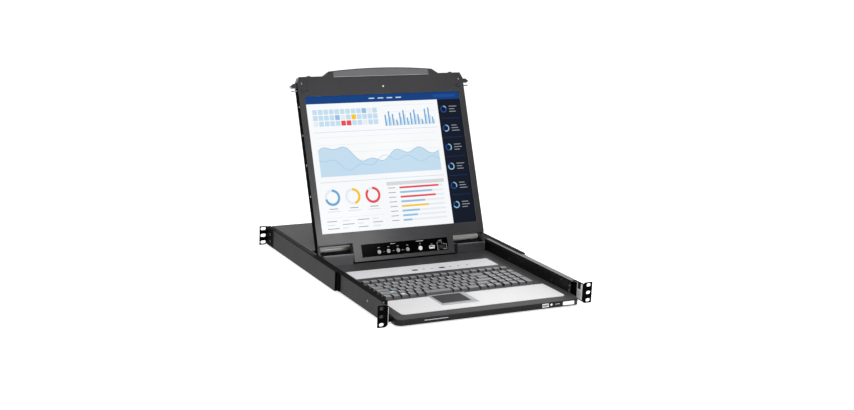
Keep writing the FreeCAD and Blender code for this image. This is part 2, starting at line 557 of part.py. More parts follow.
# latch: shallow finger recess, slot for the lip's stem, side window for the bolt
LT_V0, LT_V1 = 322.0, 332.0
for s in (-1, 1):
    a, b = sorted((s * 179.5, s * 198.0))
    bez = cut(bez, box(a, b, -1, 1.2, 311.0, 342.0))
    a, b = sorted((s * 180.0, s * 195.6))
    bez = cut(bez, box(a, b, -1, 6, 313.0, 318.4))
    a, b = sorted((s * 196.0, s * 206.0))
    bez = cut(bez, box(a, b, 3.2, LID_SPLIT + 1, LT_V0 - 0.6, LT_V1 + 0.6))
# small moulded stops on the top edge
for s in (-1, 1):
    bez = fuse(bez, prism_y([(s * 174 - 6.5, LID_V1 - 0.5), (s * 174 + 6.5, LID_V1 - 0.5),
                             (s * 174 + 3.0, LID_V1 + 2.6), (s * 174 - 3.0, LID_V1 + 2.6)], 3.0, LID_SPLIT))
save("lid_bezel", lid(bez))

bk = prism_y(out, LID_SPLIT, LID_T).cut(prism_y(inn, LID_SPLIT - 1, LID_T - 1.6))
arm = fuse(box(198.2, LID_X, LID_SPLIT, LID_T, AX_V, LID_V0 + 2),
           cyl(7.4, LID_X - 198.2, (198.2, AX_W, AX_V), (1, 0, 0)),
           box(198.2, LID_X, 2.6, LID_SPLIT, AX_V, LID_V0))
bk = fuse(bk, arm, mir(arm))
bk = cut(bk, bore)
for s in (-1, 1):
    a, b = sorted((s * 196.0, s * 206.0))
    bk = cut(bk, box(a, b, LID_SPLIT - 1, 11.8, LT_V0 - 0.6, LT_V1 + 0.6))
for i in range(14):
    x = -130 + 20 * i
    bk = cut(bk, box(x - 1.5, x + 1.5, LID_T - 3, LID_T + 1, 250, 290))
save("lid_back_cover", lid(bk))

# upper handle: a shallow arch along the lid's top edge
w = Part.Wire([Part.LineSegment(V(-142.5, 0, LID_V1), V(-127.0, 0, 356.5)).toShape(),
               Part.Arc(V(-127.0, 0, 356.5), V(0, 0, 362.5), V(127.0, 0, 356.5)).toShape(),
               Part.LineSegment(V(127.0, 0, 356.5), V(142.5, 0, LID_V1)).toShape(),
               Part.LineSegment(V(142.5, 0, LID_V1), V(-142.5, 0, LID_V1)).toShape()])
hd = Part.Face(w).extrude(V(0, LID_T, 0))
hd = cut(hd, box(-118, 118, 4.0, LID_T - 3.0, LID_V1 - 1, 352.0))
save("lid_handle", lid(hd))

save("lcd_panel", lid(box(-192, 192, LID_WALL + 0.05, 4.3, -4, 306.4)))
save("backlight_unit", lid(box(-192, 192, 4.4, 12.2, -4, 306.4)))
save("panel_board", lid(comp([box(-80, 80, 12.8, 14.4, 20, 120), box(-60, -30, 14.4, 15.4, 50, 80),
                             box(-98, 104, 5.4, 6.8, -62.5, -33.0)])))

cp = box(-103.0, 107.0, -0.6, 0.0, -57.4, -29.4)
for x in BTN_X:
    cp = cut(cp, cyl(4.8, 6, (x, -2, BTN_V), (0, 1, 0)))
cp = cut(cp, cyl(5.4, 6, (PWR_X, -2, BTN_V), (0, 1, 0)),
         box(PORT_X - 6.8, PORT_X + 6.8, -2, 6, BTN_V - 3.6, BTN_V + 3.6),
         box(SW_X0, SW_X1, -2, 6, -54.0, -45.0))
save("control_plate", lid(cp))
sp = box(PORT_X - 6.8, PORT_X + 6.8, -0.9, 5.2, BTN_V - 3.6, BTN_V + 3.6)
sp = cut(sp, box(PORT_X - 5.8, PORT_X + 5.8, -2, 4.4, BTN_V - 2.6, BTN_V + 2.6))
save("service_port", lid(sp))

for i, x in enumerate(BTN_X):
    save("osd_button_%d" % (i + 1), lid(fuse(cyl(4.5, 4.1, (x, -1.6, BTN_V), (0, 1, 0)),
                                            cyl(5.6, 0.8, (x, 2.5, BTN_V), (0, 1, 0)))))
save("power_button", lid(fuse(cyl(5.0, 4.1, (PWR_X, -1.6, BTN_V), (0, 1, 0)),
                              cyl(6.0, 0.8, (PWR_X, 2.5, BTN_V), (0, 1, 0)))))
save("mode_switch", lid(fuse(box(86.0, 92.0, -1.5, 2.6, -52.2, -46.8), box(84.0, 94.0, 2.5, 3.3, -54.0, -45.0))))

# side latches: bolt with a ramped tip, slider and finger lip
def latch():
    bolt = prism_y([(181.0, LT_V0), (214.5, LT_V0), (218.3, LT_V0 + 3.0), (218.3, LT_V0 + 5.5),
                    (212.0, LT_V1), (181.0, LT_V1)], 3.6, 11.4)
    stem = box(187.0, 195.2, -0.4, 11.4, 313.4, 318.0)
    link = box(187.0, 195.2, 3.6, 11.4, 318.0, LT_V0)
    b = fuse(bolt, stem, link)
    return b


lt = latch()
save("latch_right", lid(lt))
save("latch_left", lid(mir(lt)))
gp = cyl(1.6, 217.2 - 200.9, (200.9, 6.2, 316.0), (1, 0, 0))
bez = cut(bez, gp, mir(gp))
save("lid_bezel", lid(bez))
save("lid_guide_pins", lid(comp([gp, mir(gp)])))

ls = []
for v in (84.0, 152.0, 217.5, 280.5):
    a = cyl(2.0, 2.5, (LID_X - 2.1, 4.6, v), (1, 0, 0))
    ls += [a, mir(a)]
for s in (-1, 1):
    ls.append(cyl(2.0, 1.0, (s * 193.0, 0.2, 331.0), (0, 1, 0)))
bez = cut(bez, *ls)
save("lid_bezel", lid(bez))
save("lid_screws", lid(comp(ls)))

for name, shape in parts.items():
    shape.exportStep("parts/%s.step" % name)
bb = Part.makeCompound(list(parts.values())).BoundBox
print("nodes", len(parts), "box", [round(v, 1) for v in (bb.XMin, bb.XMax, bb.YMin, bb.YMax, bb.ZMin, bb.ZMax)])
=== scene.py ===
import math
import random

import bmesh
import bpy
from mathutils import Matrix, Vector


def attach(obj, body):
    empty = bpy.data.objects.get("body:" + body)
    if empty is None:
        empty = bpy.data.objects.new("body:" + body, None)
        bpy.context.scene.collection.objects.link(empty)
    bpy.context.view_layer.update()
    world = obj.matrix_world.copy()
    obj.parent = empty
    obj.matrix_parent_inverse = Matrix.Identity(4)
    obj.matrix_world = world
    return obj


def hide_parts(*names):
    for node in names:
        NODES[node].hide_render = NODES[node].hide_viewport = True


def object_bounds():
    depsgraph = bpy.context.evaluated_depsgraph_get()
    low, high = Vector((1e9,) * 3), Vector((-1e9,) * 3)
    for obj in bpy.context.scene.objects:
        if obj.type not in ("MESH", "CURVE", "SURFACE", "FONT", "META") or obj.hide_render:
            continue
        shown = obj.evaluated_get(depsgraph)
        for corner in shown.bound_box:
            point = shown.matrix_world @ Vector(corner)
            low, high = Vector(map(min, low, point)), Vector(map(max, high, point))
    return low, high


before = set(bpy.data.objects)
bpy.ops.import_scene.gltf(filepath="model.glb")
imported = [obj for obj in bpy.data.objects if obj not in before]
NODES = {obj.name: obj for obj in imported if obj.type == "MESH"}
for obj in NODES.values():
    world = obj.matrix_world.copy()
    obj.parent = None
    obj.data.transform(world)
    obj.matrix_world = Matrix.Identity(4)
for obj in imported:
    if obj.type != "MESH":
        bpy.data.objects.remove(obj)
CAD_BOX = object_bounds()

# All lengths below are millimetres and are scaled when a piece is finished.
MM = 0.001
TILT = math.radians(22.0)
SN, CS = math.sin(TILT), math.cos(TILT)
FLAT = Matrix.Scale(MM, 4)
# lid coordinates: x, depth behind the face, height above the bottom of the screen
LID = Matrix.Scale(MM, 4) @ Matrix(((1, 0, 0, 0), (0, CS, SN, 394.0), (0, -SN, CS, 58.5), (0, 0, 0, 1)))
X, Y, Z = Vector((1, 0, 0)), Vector((0, 1, 0)), Vector((0, 0, 1))


def lin(*rgb):
    """sRGB 0-255 to linear."""
    if len(rgb) == 1:
        rgb = rgb * 3
    out = []
    for c in rgb:
        c /= 255.0
        out.append(c / 12.92 if c <= 0.04045 else ((c + 0.055) / 1.055) ** 2.4)
    return (*out, 1.0)


# ------------------------------------------------------------------ materials
def base_material(name):
    m = bpy.data.materials.new(name)
    m.use_nodes = True
    nt = m.node_tree
    nt.nodes.clear()
    out = nt.nodes.new("ShaderNodeOutputMaterial")
    bs = nt.nodes.new("ShaderNodeBsdfPrincipled")
    nt.links.new(bs.outputs["BSDF"], out.inputs["Surface"])
    return m, nt, bs


def noise(nt, co, scale, detail=2.0, stretch=None, rough=0.5):
    """A noise pattern in the piece's own coordinates; scale is per metre."""
    src = co.outputs["Object"]
    if stretch:
        mp = nt.nodes.new("ShaderNodeMapping")
        mp.inputs["Scale"].default_value = stretch
        nt.links.new(src, mp.inputs["Vector"])
        src = mp.outputs["Vector"]
    n = nt.nodes.new("ShaderNodeTexNoise")
    n.inputs["Scale"].default_value = scale
    n.inputs["Detail"].default_value = detail
    n.inputs["Roughness"].default_value = rough
    nt.links.new(src, n.inputs["Vector"])
    return n.outputs["Fac"]


def ramp(nt, fac, stops):
    r = nt.nodes.new("ShaderNodeValToRGB")
    e = r.color_ramp.elements
    while len(e) < len(stops):
        e.new(0.5)
    for el, (p, c) in zip(e, stops):
        el.position = p
        el.color = c
    nt.links.new(fac, r.inputs["Fac"])
    return r.outputs["Color"]


def to_range(nt, fac, lo, hi, a=0.25, b=0.75):
    r = nt.nodes.new("ShaderNodeMapRange")
    r.inputs["From Min"].default_value = a
    r.inputs["From Max"].default_value = b
    r.inputs["To Min"].default_value = lo
    r.inputs["To Max"].default_value = hi
    nt.links.new(fac, r.inputs["Value"])
    return r.outputs["Result"]


def scaled(c, k):
    return (min(c[0] * k, 1), min(c[1] * k, 1), min(c[2] * k, 1), 1)


def surface(name, colour, vary=0.12, rough=0.5, rough_vary=0.06, blotch=14.0, grain=1400.0, depth=0.02,
            metallic=0.0, coat=0.0, coat_rough=0.1, spec=0.5, stretch=None, dust=0.0, wear_and_highlight=0.0, wear_and_highlight_colour=None,
            orange=0.0):
    """A moulded or coated surface: slow colour drift, fine grain in bump and roughness, optional dust, and optional
    lighter edges that are partly rubbed coat and partly a painted edge highlight.
    depth is the grain's height in mm; orange is the height of a slower ripple, as in thick powder coat."""
    m, nt, bs = base_material(name)
    co = nt.nodes.new("ShaderNodeTexCoord")
    slow = noise(nt, co, blotch, 3.0)
    fine = noise(nt, co, grain, 2.0, stretch)
    col = ramp(nt, slow, [(0.32, scaled(colour, 1 - vary)), (0.68, scaled(colour, 1 + vary))])
    speck = ramp(nt, fine, [(0.35, (0.90, 0.90, 0.90, 1)), (0.65, (1.08, 1.08, 1.08, 1))])
    mx = nt.nodes.new("ShaderNodeMix")
    mx.data_type = "RGBA"
    mx.blend_type = "MULTIPLY"
    mx.inputs["Factor"].default_value = 1.0
    nt.links.new(col, mx.inputs["A"])
    nt.links.new(speck, mx.inputs["B"])
    colour_out = mx.outputs["Result"]
    if dust:
        geo = nt.nodes.new("ShaderNodeNewGeometry")
        sep = nt.nodes.new("ShaderNodeSeparateXYZ")
        nt.links.new(geo.outputs["Normal"], sep.inputs["Vector"])
        up = to_range(nt, sep.outputs["Z"], 0.0, 1.0, 0.6, 1.0)
        cloud = to_range(nt, noise(nt, co, 60.0, 5.0, rough=0.65), 0.0, dust, 0.42, 0.75)
        mul = nt.nodes.new("ShaderNodeMath")
        mul.operation = "MULTIPLY"
        nt.links.new(up, mul.inputs[0])
        nt.links.new(cloud, mul.inputs[1])
        d = nt.nodes.new("ShaderNodeMix")
        d.data_type = "RGBA"
        d.inputs["B"].default_value = lin(150, 148, 144)
        nt.links.new(mul.outputs[0], d.inputs["Factor"])
        nt.links.new(colour_out, d.inputs["A"])
        colour_out = d.outputs["Result"]
    # lighter edges: partly rubbed coat, partly a painted highlight along the edges
    if wear_and_highlight:
        geo = nt.nodes.new("ShaderNodeNewGeometry")
        bev = nt.nodes.new("ShaderNodeBevel")
        bev.samples = 4
        bev.inputs["Radius"].default_value = 0.0007
        dot = nt.nodes.new("ShaderNodeVectorMath")
        dot.operation = "DOT_PRODUCT"
        nt.links.new(geo.outputs["True Normal"], dot.inputs[0])
        nt.links.new(bev.outputs["Normal"], dot.inputs[1])
        edge = to_range(nt, dot.outputs["Value"], wear_and_highlight, 0.0, 0.80, 0.985)
        patch = to_range(nt, noise(nt, co, 90.0, 4.0), 0.15, 1.0, 0.38, 0.62)
        mul = nt.nodes.new("ShaderNodeMath")
        mul.operation = "MULTIPLY"
        nt.links.new(edge, mul.inputs[0])
        nt.links.new(patch, mul.inputs[1])
        w = nt.nodes.new("ShaderNodeMix")
        w.data_type = "RGBA"
        w.inputs["B"].default_value = wear_and_highlight_colour or lin(150)
        nt.links.new(mul.outputs[0], w.inputs["Factor"])
        nt.links.new(colour_out, w.inputs["A"])
        colour_out = w.outputs["Result"]
    nt.links.new(colour_out, bs.inputs["Base Color"])
    rg = nt.nodes.new("ShaderNodeMath")
    rg.operation = "ADD"
    nt.links.new(to_range(nt, fine, rough - rough_vary * 0.5, rough + rough_vary * 0.5), rg.inputs[0])
    nt.links.new(to_range(nt, slow, -rough_vary * 0.5, rough_vary * 0.5), rg.inputs[1])
    nt.links.new(rg.outputs[0], bs.inputs["Roughness"])
    bs.inputs["Metallic"].default_value = metallic
    bs.inputs["Specular IOR Level"].default_value = spec
    if coat:
        bs.inputs["Coat Weight"].default_value = coat
        bs.inputs["Coat Roughness"].default_value = coat_rough
    b = nt.nodes.new("ShaderNodeBump")
    b.inputs["Strength"].default_value = 0.6
    b.inputs["Distance"].default_value = depth * MM
    nt.links.new(fine, b.inputs["Height"])
    last = b
    if orange:
        o = nt.nodes.new("ShaderNodeBump")
        o.inputs["Strength"].default_value = 0.6
        o.inputs["Distance"].default_value = orange * MM
        nt.links.new(noise(nt, co, 330.0, 1.0), o.inputs["Height"])
        nt.links.new(b.outputs["Normal"], o.inputs["Normal"])
        last = o
    nt.links.new(last.outputs["Normal"], bs.inputs["Normal"])
    return m


def brushed(name, colour, rough=0.3, along="Y", vary=0.08, grain=900.0, metallic=1.0, depth=0.004):
    """Metal with a brushed or drawn grain along one axis."""
    st = {"X": (0.03, 1, 1), "Y": (1, 0.03, 1), "Z": (1, 1, 0.03)}[along]
    return surface(name, colour, vary=vary, rough=rough, rough_vary=0.12, grain=grain, depth=depth, metallic=metallic,
                   stretch=st, blotch=20.0)


def glow(name, colour, strength=1.0, rough=0.4, face=None):
    """A lit patch behind an anti-glare front."""
    m, nt, bs = base_material(name)
    co = nt.nodes.new("ShaderNodeTexCoord")
    fine = noise(nt, co, 2400.0, 1.0)
    nt.links.new(to_range(nt, fine, rough - 0.04, rough + 0.04), bs.inputs["Roughness"])
    bs.inputs["Base Color"].default_value = face or (0.003, 0.003, 0.0035, 1)
    c = ramp(nt, noise(nt, co, 7.0, 1.0), [(0.3, scaled(colour, 0.97)), (0.7, scaled(colour, 1.0))])
    nt.links.new(c, bs.inputs["Emission Color"])
    bs.inputs["Emission Strength"].default_value = strength
    bs.inputs["Specular IOR Level"].default_value = 0.08
    b = nt.nodes.new("ShaderNodeBump")
    b.inputs["Strength"].default_value = 0.2
    b.inputs["Distance"].default_value = 0.000003
    nt.links.new(fine, b.inputs["Height"])
    nt.links.new(b.outputs["Normal"], bs.inputs["Normal"])
    return m


M = {
    "powder": surface("powder_black", lin(14, 14, 15), rough=0.5, grain=1700, depth=0.03, orange=0.02, vary=0.07, spec=0.16, wear_and_highlight=0.3, wear_and_highlight_colour=lin(80)),
    # a lighter, glossier copy of the black powder coat: painted light on the right top faces
    "powder_top_lit": surface("powder_top_lit", lin(50, 50, 51), rough=0.30, grain=1700, depth=0.02, orange=0.01, vary=0.07, spec=0.9, wear_and_highlight=0.2, wear_and_highlight_colour=lin(90)),
    # a near-black copy of the powder coat: painted shade
    "powder_painted_shade": surface("powder_painted_shade", lin(6, 6, 7), rough=0.6, grain=1700, depth=0.03, orange=0.02, vary=0.07, spec=0.06),
    "powder_ear": surface("powder_ear", lin(2, 2, 3), rough=0.6, grain=1700, depth=0.03, orange=0.02, vary=0.07, spec=0.02, wear_and_highlight=0.3, wear_and_highlight_colour=lin(45)),
    "powder_drawer": surface("powder_drawer", lin(11, 11, 12), rough=0.5, grain=1700, depth=0.03, orange=0.02, vary=0.07, spec=0.2, wear_and_highlight=0.3, wear_and_highlight_colour=lin(110)),
    "cover": surface("powder_cover", lin(62, 61, 61), rough=0.6, grain=1700, depth=0.03, orange=0.02, vary=0.05, spec=0.4, wear_and_highlight=0.3, wear_and_highlight_colour=lin(105), dust=0.06),
    "deck": surface("deck_plastic", lin(44, 44, 45), rough=0.42, grain=1100, depth=0.03, vary=0.05, wear_and_highlight=0.15, wear_and_highlight_colour=lin(90)),
    "lid": surface("lid_plastic", lin(45, 45, 47), rough=0.33, grain=1250, depth=0.012, vary=0.05, wear_and_highlight=0.15, wear_and_highlight_colour=lin(95)),
    "lid_back": surface("lid_back_plastic", lin(38, 38, 39), rough=0.46, grain=900, depth=0.04, vary=0.05, wear_and_highlight=0.2, wear_and_highlight_colour=lin(85)),
    "handle": surface("handle_insert", lin(92, 92, 94), rough=0.42, grain=1250, depth=0.02, vary=0.06),
    "bar": surface("bar_plastic", lin(9, 9, 10), rough=0.42, grain=1300, depth=0.015, vary=0.06, spec=0.2, wear_and_highlight=0.2, wear_and_highlight_colour=lin(60)),
    "bar_line": surface("bar_line", lin(205, 205, 206), rough=0.3, grain=1300, depth=0.01, vary=0.08),
    "bar_mark": surface("bar_mark", lin(190, 190, 190), rough=0.4, grain=1300, depth=0.01, vary=0.05),
    "key": surface("key_plastic", lin(118, 118, 120), rough=0.38, grain=1500, depth=0.02, vary=0.07),
    # darker copies of the key plastic for the cap sides and fronts: painted shade
    "key_side_shade": surface("key_side_shade", lin(38, 38, 39), rough=0.6, grain=1500, depth=0.02, vary=0.07, spec=0.2),
    "key_front_shade": surface("key_front_shade", lin(84, 84, 86), rough=0.5, grain=1500, depth=0.02, vary=0.07, spec=0.3),
    "legend": surface("legend_print", lin(226, 227, 229), rough=0.5, grain=1500, depth=0.005, vary=0.05),
    "key_patch_blue": surface("key_patch_blue", lin(150, 196, 200), rough=0.5, grain=1500, depth=0.005, vary=0.05),
    "well": surface("well_plastic", lin(26, 26, 27), rough=0.7, grain=900, depth=0.02, vary=0.1, spec=0.15),
    "palm": surface("palm_paint", lin(194, 194, 195), rough=0.42, grain=1900, depth=0.008, metallic=0.0, vary=0.02, spec=0.4),
    "strip": surface("strip_paint", lin(198, 198, 200), rough=0.40, grain=1900, depth=0.008, metallic=0.0, vary=0.03, spec=0.4),
    "indicator": surface("indicator_window", lin(12, 11, 10), rough=0.4, grain=700, depth=0.004, vary=0.2, spec=0.05),
    "indicator_dot": surface("indicator_dot", lin(128, 128, 124), rough=0.45, grain=700, depth=0.004, vary=0.12, spec=0.1),
    "pad_frame": surface("pad_frame", lin(150, 151, 153), rough=0.36, grain=1700, depth=0.01, vary=0.04),
    "pad": surface("pad_surface", lin(44, 44, 45), rough=0.5, grain=2000, depth=0.02, vary=0.04, spec=0.3),
    "gloss": surface("panel_gloss_black", lin(3, 3, 4), rough=0.2, grain=600, depth=0.002, vary=0.15, spec=0.02),
    "button": surface("button_grey", lin(148, 147, 145), rough=0.34, grain=1400, depth=0.01, vary=0.08, metallic=0.3),
    "button_rim": surface("button_rim", lin(62, 62, 63), rough=0.3, grain=1400, depth=0.01, vary=0.08),
    "button_bright": surface("button_bright", lin(222, 221, 216), rough=0.3, grain=1400, depth=0.01, vary=0.05),
    "white_port": surface("port_white", lin(226, 226, 224), rough=0.4, grain=1200, depth=0.01, vary=0.05),
    "print_white": surface("panel_print", lin(176, 176, 176), rough=0.5, grain=1500, depth=0.004, vary=0.06),
    "label": surface("label_white", lin(236, 236, 234), rough=0.55, grain=1200, depth=0.01, vary=0.03),
    "zinc": surface("zinc_steel", lin(214, 215, 217), rough=0.42, grain=900, depth=0.004, metallic=0.35, vary=0.08, stretch=(1, 0.03, 1), blotch=20.0),
    "rail": brushed("rail_steel", lin(150, 152, 155), rough=0.36, along="Y"),
    "bar_steel": surface("bar_steel", lin(232, 231, 227), rough=0.5, grain=1500, depth=0.006, metallic=0.25, vary=0.05, stretch=(0.03, 1, 1)),
    "shaft": brushed("shaft_steel", lin(150, 150, 152), rough=0.28, along="X"),
    "port_steel": brushed("port_steel", lin(186, 187, 188), rough=0.28, along="X", grain=1200),
    "port_bright": surface("port_bright", lin(226, 226, 224), rough=0.35, metallic=0.2, grain=1200, depth=0.004, vary=0.06),
    "gold": surface("contact_gold", lin(205, 170, 90), rough=0.25, metallic=1.0, grain=1500, depth=0.003, vary=0.08),
    "screw": surface("screw_black", lin(56, 56, 57), rough=0.36, metallic=0.5, grain=1200, depth=0.02, vary=0.12),
    "screw_dull": surface("screw_dull", lin(120, 120, 119), rough=0.45, metallic=0.5, grain=1200, depth=0.01, vary=0.1),
    "screw_bright": surface("screw_zinc", lin(170, 170, 168), rough=0.3, metallic=1.0, grain=1200, depth=0.01, vary=0.1),
    # near-black, matt: painted shade
    "shade_black": surface("nylon_black", lin(3, 3, 4), rough=0.8, grain=1000, depth=0.02, vary=0.1, spec=0.02),
    "black": surface("black_plastic", lin(24, 24, 25), rough=0.42, grain=1200, depth=0.02, vary=0.08),
    "hinge": surface("hinge_paint", lin(58, 58, 61), rough=0.28, grain=1500, depth=0.01, vary=0.06, spec=1.0, wear_and_highlight=0.3, wear_and_highlight_colour=lin(170)),
    # a lighter copy of the hinge paint for the left block: painted light
    "hinge_painted_light": surface("hinge_paint_painted_light", lin(84, 84, 87), rough=0.32, grain=1500, depth=0.01, vary=0.06, spec=0.8, wear_and_highlight=0.3, wear_and_highlight_colour=lin(190)),
    "board": surface("board_green", lin(22, 74, 46), rough=0.35, grain=700, depth=0.02, vary=0.25, blotch=120),
    "sheet": brushed("psu_sheet", lin(165, 167, 168), rough=0.35, along="X"),
    "backlight": surface("backlight_metal", lin(150, 152, 154), rough=0.4, metallic=1.0, grain=900, depth=0.01, vary=0.08),
    "blue_plastic": surface("dsub_insert", lin(30, 58, 120), rough=0.4, grain=1200, depth=0.01, vary=0.08),
    # near-black for socket holes and the space behind slots: painted shade
    "recess_shade": surface("recess_shade_paint", lin(8, 8, 9), rough=0.6, grain=900, depth=0.02, vary=0.1),
    "lens": surface("lamp_lens", lin(214, 214, 208), rough=0.25, grain=900, depth=0.004, vary=0.05, spec=0.6),
    # a pale strip colour: painted highlight line
    "handle_highlight_strip": surface("insert_edge_highlight", lin(158, 158, 158), rough=0.35, grain=1300, depth=0.008, vary=0.06),
    # a darker, matt copy of the lid plastic for the lid's outer sides: painted shade
    "lid_side_shade": surface("lid_side_shade", lin(14, 14, 15), rough=0.7, grain=1250, depth=0.02, vary=0.06, spec=0.0, wear_and_highlight=0.25, wear_and_highlight_colour=lin(80)),
}


# ------------------------------------------------------------------ mesh tools
class Piece:
    def __init__(self, name, tf=FLAT):
        self.name, self.tf, self.bm, self.mats = name, tf, bmesh.new(), []

    def index(self, m):
        if m not in self.mats:
            self.mats.append(m)
        return self.mats.index(m)

    def add(self, src, mat, pick=None):
        """Adds a bmesh; pick(face) may name another material for a face."""
        base = self.index(mat)
        src.faces.ensure_lookup_table()
        for f in src.faces:
            other = pick(f) if pick else None
            f.material_index = self.index(other) if other else base
        me = bpy.data.meshes.new("tmp")
        src.to_mesh(me)
        self.bm.from_mesh(me)
        bpy.data.meshes.remove(me)
        src.free()
        return self

    def done(self, body, replaces=(), smooth=38, weighted=True):
        me = bpy.data.meshes.new(self.name)
        bmesh.ops.transform(self.bm, matrix=self.tf, verts=self.bm.verts)
        self.bm.to_mesh(me)
        self.bm.free()
        for m in self.mats:
            me.materials.append(M[m])
        me.shade_smooth()
        me.set_sharp_from_angle(angle=math.radians(smooth))
        ob = bpy.data.objects.new(self.name, me)
        bpy.context.scene.collection.objects.link(ob)
        if weighted:
            wn = ob.modifiers.new("weighted", "WEIGHTED_NORMAL")
            wn.keep_sharp = True
            wn.weight = 80
        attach(ob, body)
        if replaces:
            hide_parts(*replaces)
        return ob


def box(x0, x1, y0, y1, z0, z1, r=0.0, seg=2):
    bm = bmesh.new()
    bmesh.ops.create_cube(bm, size=1.0)
    m = Matrix.Translation(((x0 + x1) / 2, (y0 + y1) / 2, (z0 + z1) / 2)) @ Matrix.Diagonal((x1 - x0, y1 - y0, z1 - z0, 1))
    bmesh.ops.transform(bm, matrix=m, verts=bm.verts)
    if r:
        bmesh.ops.bevel(bm, geom=bm.edges[:], offset=r, segments=seg, profile=0.5, affect="EDGES", clamp_overlap=True)
    return bm


def prism(pts, axis, h0, h1):
    """Outline extruded: axis 'z' takes (x, y), 'y' takes (x, z), 'x' takes (y, z)."""
    def at(p, h):
        return {"z": (p[0], p[1], h), "y": (p[0], h, p[1]), "x": (h, p[0], p[1])}[axis]
    bm = bmesh.new()
    a = [bm.verts.new(at(p, h0)) for p in pts]
    b = [bm.verts.new(at(p, h1)) for p in pts]
    n = len(pts)
    bm.faces.new(a[::-1])
    bm.faces.new(b)
    for i in range(n):
        bm.faces.new((a[i], a[(i + 1) % n], b[(i + 1) % n], b[i]))
    bmesh.ops.recalc_face_normals(bm, faces=bm.faces)
    return bm


def rrect(x0, x1, y0, y1, r, n=4):
    """Rounded rectangle outline, anticlockwise."""
    pts = []
    rs = r if isinstance(r, (tuple, list)) else (r,) * 4  # corners: x1y1, x0y1, x0y0, x1y0
    for (cx, cy, a0), q in zip(((x1, y1, 0), (x0, y1, 90), (x0, y0, 180), (x1, y0, 270)), rs):
        sx = -1 if cx == x1 else 1
        sy = -1 if cy == y1 else 1
        if q <= 0:
            pts.append((cx, cy))
            continue
        for i in range(n + 1):
            a = math.radians(a0 + 90.0 * i / n)
            pts.append((cx + sx * q + q * math.cos(a), cy + sy * q + q * math.sin(a)))
    return pts


def loft(rings, closed_ends=True):
    """Rings of equal length, each a list of 3-D points, joined by quads."""
    bm = bmesh.new()
    vs = [[bm.verts.new(p) for p in ring] for ring in rings]
    n = len(rings[0])
    for a, b in zip(vs, vs[1:]):
        for i in range(n):
            bm.faces.new((a[i], a[(i + 1) % n], b[(i + 1) % n], b[i]))
    if closed_ends:
        bm.faces.new(vs[0][::-1])
        bm.faces.new(vs[-1])
    bmesh.ops.recalc_face_normals(bm, faces=bm.faces)
    return bm


def frame_to(axis):
    """Rotation that takes +Z to axis."""
    return Vector(axis).normalized().to_track_quat("Z", "Y").to_matrix().to_4x4()


def lathe(profile, centre, axis=(0, 0, 1), segs=32, turn=0.0):
    """Profile of (radius, height) turned round the axis."""
    bm = bmesh.new()
    rings = []
    for r, h in profile:
        if r < 1e-6:
            rings.append([bm.verts.new((0, 0, h))])
        else:
            rings.append([bm.verts.new((r * math.cos(turn + 2 * math.pi * i / segs), r * math.sin(turn + 2 * math.pi * i / segs), h))
                          for i in range(segs)])
    for a, b in zip(rings, rings[1:]):
        if len(a) == 1 and len(b) == 1:
            continue
        for i in range(segs):
            j = (i + 1) % segs
            if len(a) == 1:
                bm.faces.new((a[0], b[j], b[i]))
            elif len(b) == 1:
                bm.faces.new((a[i], a[j], b[0]))
            else:
                bm.faces.new((a[i], a[j], b[j], b[i]))
    if len(rings[0]) > 1:
        bm.faces.new(rings[0][::-1])
    if len(rings[-1]) > 1:
        bm.faces.new(rings[-1])
    bmesh.ops.transform(bm, matrix=Matrix.Translation(centre) @ frame_to(axis), verts=bm.verts)
    bmesh.ops.recalc_face_normals(bm, faces=bm.faces)
    return bm


def node_mesh(name, tf=FLAT):
    """A CAD node's shape in the working coordinates, with its triangles merged into whole faces."""
    bm = bmesh.new()
    bm.from_mesh(NODES[name].data)
    bmesh.ops.transform(bm, matrix=tf.inverted(), verts=bm.verts)
    bmesh.ops.remove_doubles(bm, verts=bm.verts, dist=0.002)
    bmesh.ops.dissolve_limit(bm, angle_limit=math.radians(0.5), verts=bm.verts, edges=bm.edges, delimit=set())
    bmesh.ops.recalc_face_normals(bm, faces=bm.faces)
    return bm


def soften(bm, width, seg=2, angle=40, pick=None, clamp=False):
    lim = math.radians(angle)
    edges = [e for e in bm.edges if len(e.link_faces) == 2 and e.calc_face_angle(0) > lim and (pick is None or pick(e))]
    if edges:
        bmesh.ops.bevel(bm, geom=edges, offset=width, segments=seg, profile=0.5, affect="EDGES", clamp_overlap=clamp)
    return bm


def as_object(bm):
    me = bpy.data.meshes.new("tmp")
    bm.to_mesh(me)
    bm.free()
    ob = bpy.data.objects.new("tmp", me)
    bpy.context.scene.collection.objects.link(ob)
    return ob


def boolean(bm, cutter, op="DIFFERENCE"):
    """Both in mm; the cutter may hold several closed shapes that don't touch."""
    a, b = as_object(bm), as_object(cutter)
    md = a.modifiers.new("b", "BOOLEAN")
    md.operation, md.object, md.solver = op, b, "EXACT"
    dg = bpy.context.evaluated_depsgraph_get()
    ev = a.evaluated_get(dg)
    out = bmesh.new()
    out.from_mesh(ev.to_mesh())
    ev.to_mesh_clear()
    for o in (a, b):
        me = o.data
        bpy.data.objects.remove(o)
        bpy.data.meshes.remove(me)
    return out


def join(*bms):
    out = bmesh.new()
    for b in bms:
        me = bpy.data.meshes.new("tmp")
        b.to_mesh(me)
        out.from_mesh(me)
        bpy.data.meshes.remove(me)
        b.free()
    return out


def moved(bm, m):
    bmesh.ops.transform(bm, matrix=m, verts=bm.verts)
    return bm


def mirrored(bm):
    bmesh.ops.transform(bm, matrix=Matrix.Diagonal((-1, 1, 1, 1)), verts=bm.verts)
    bmesh.ops.reverse_faces(bm, faces=bm.faces)
    return bm


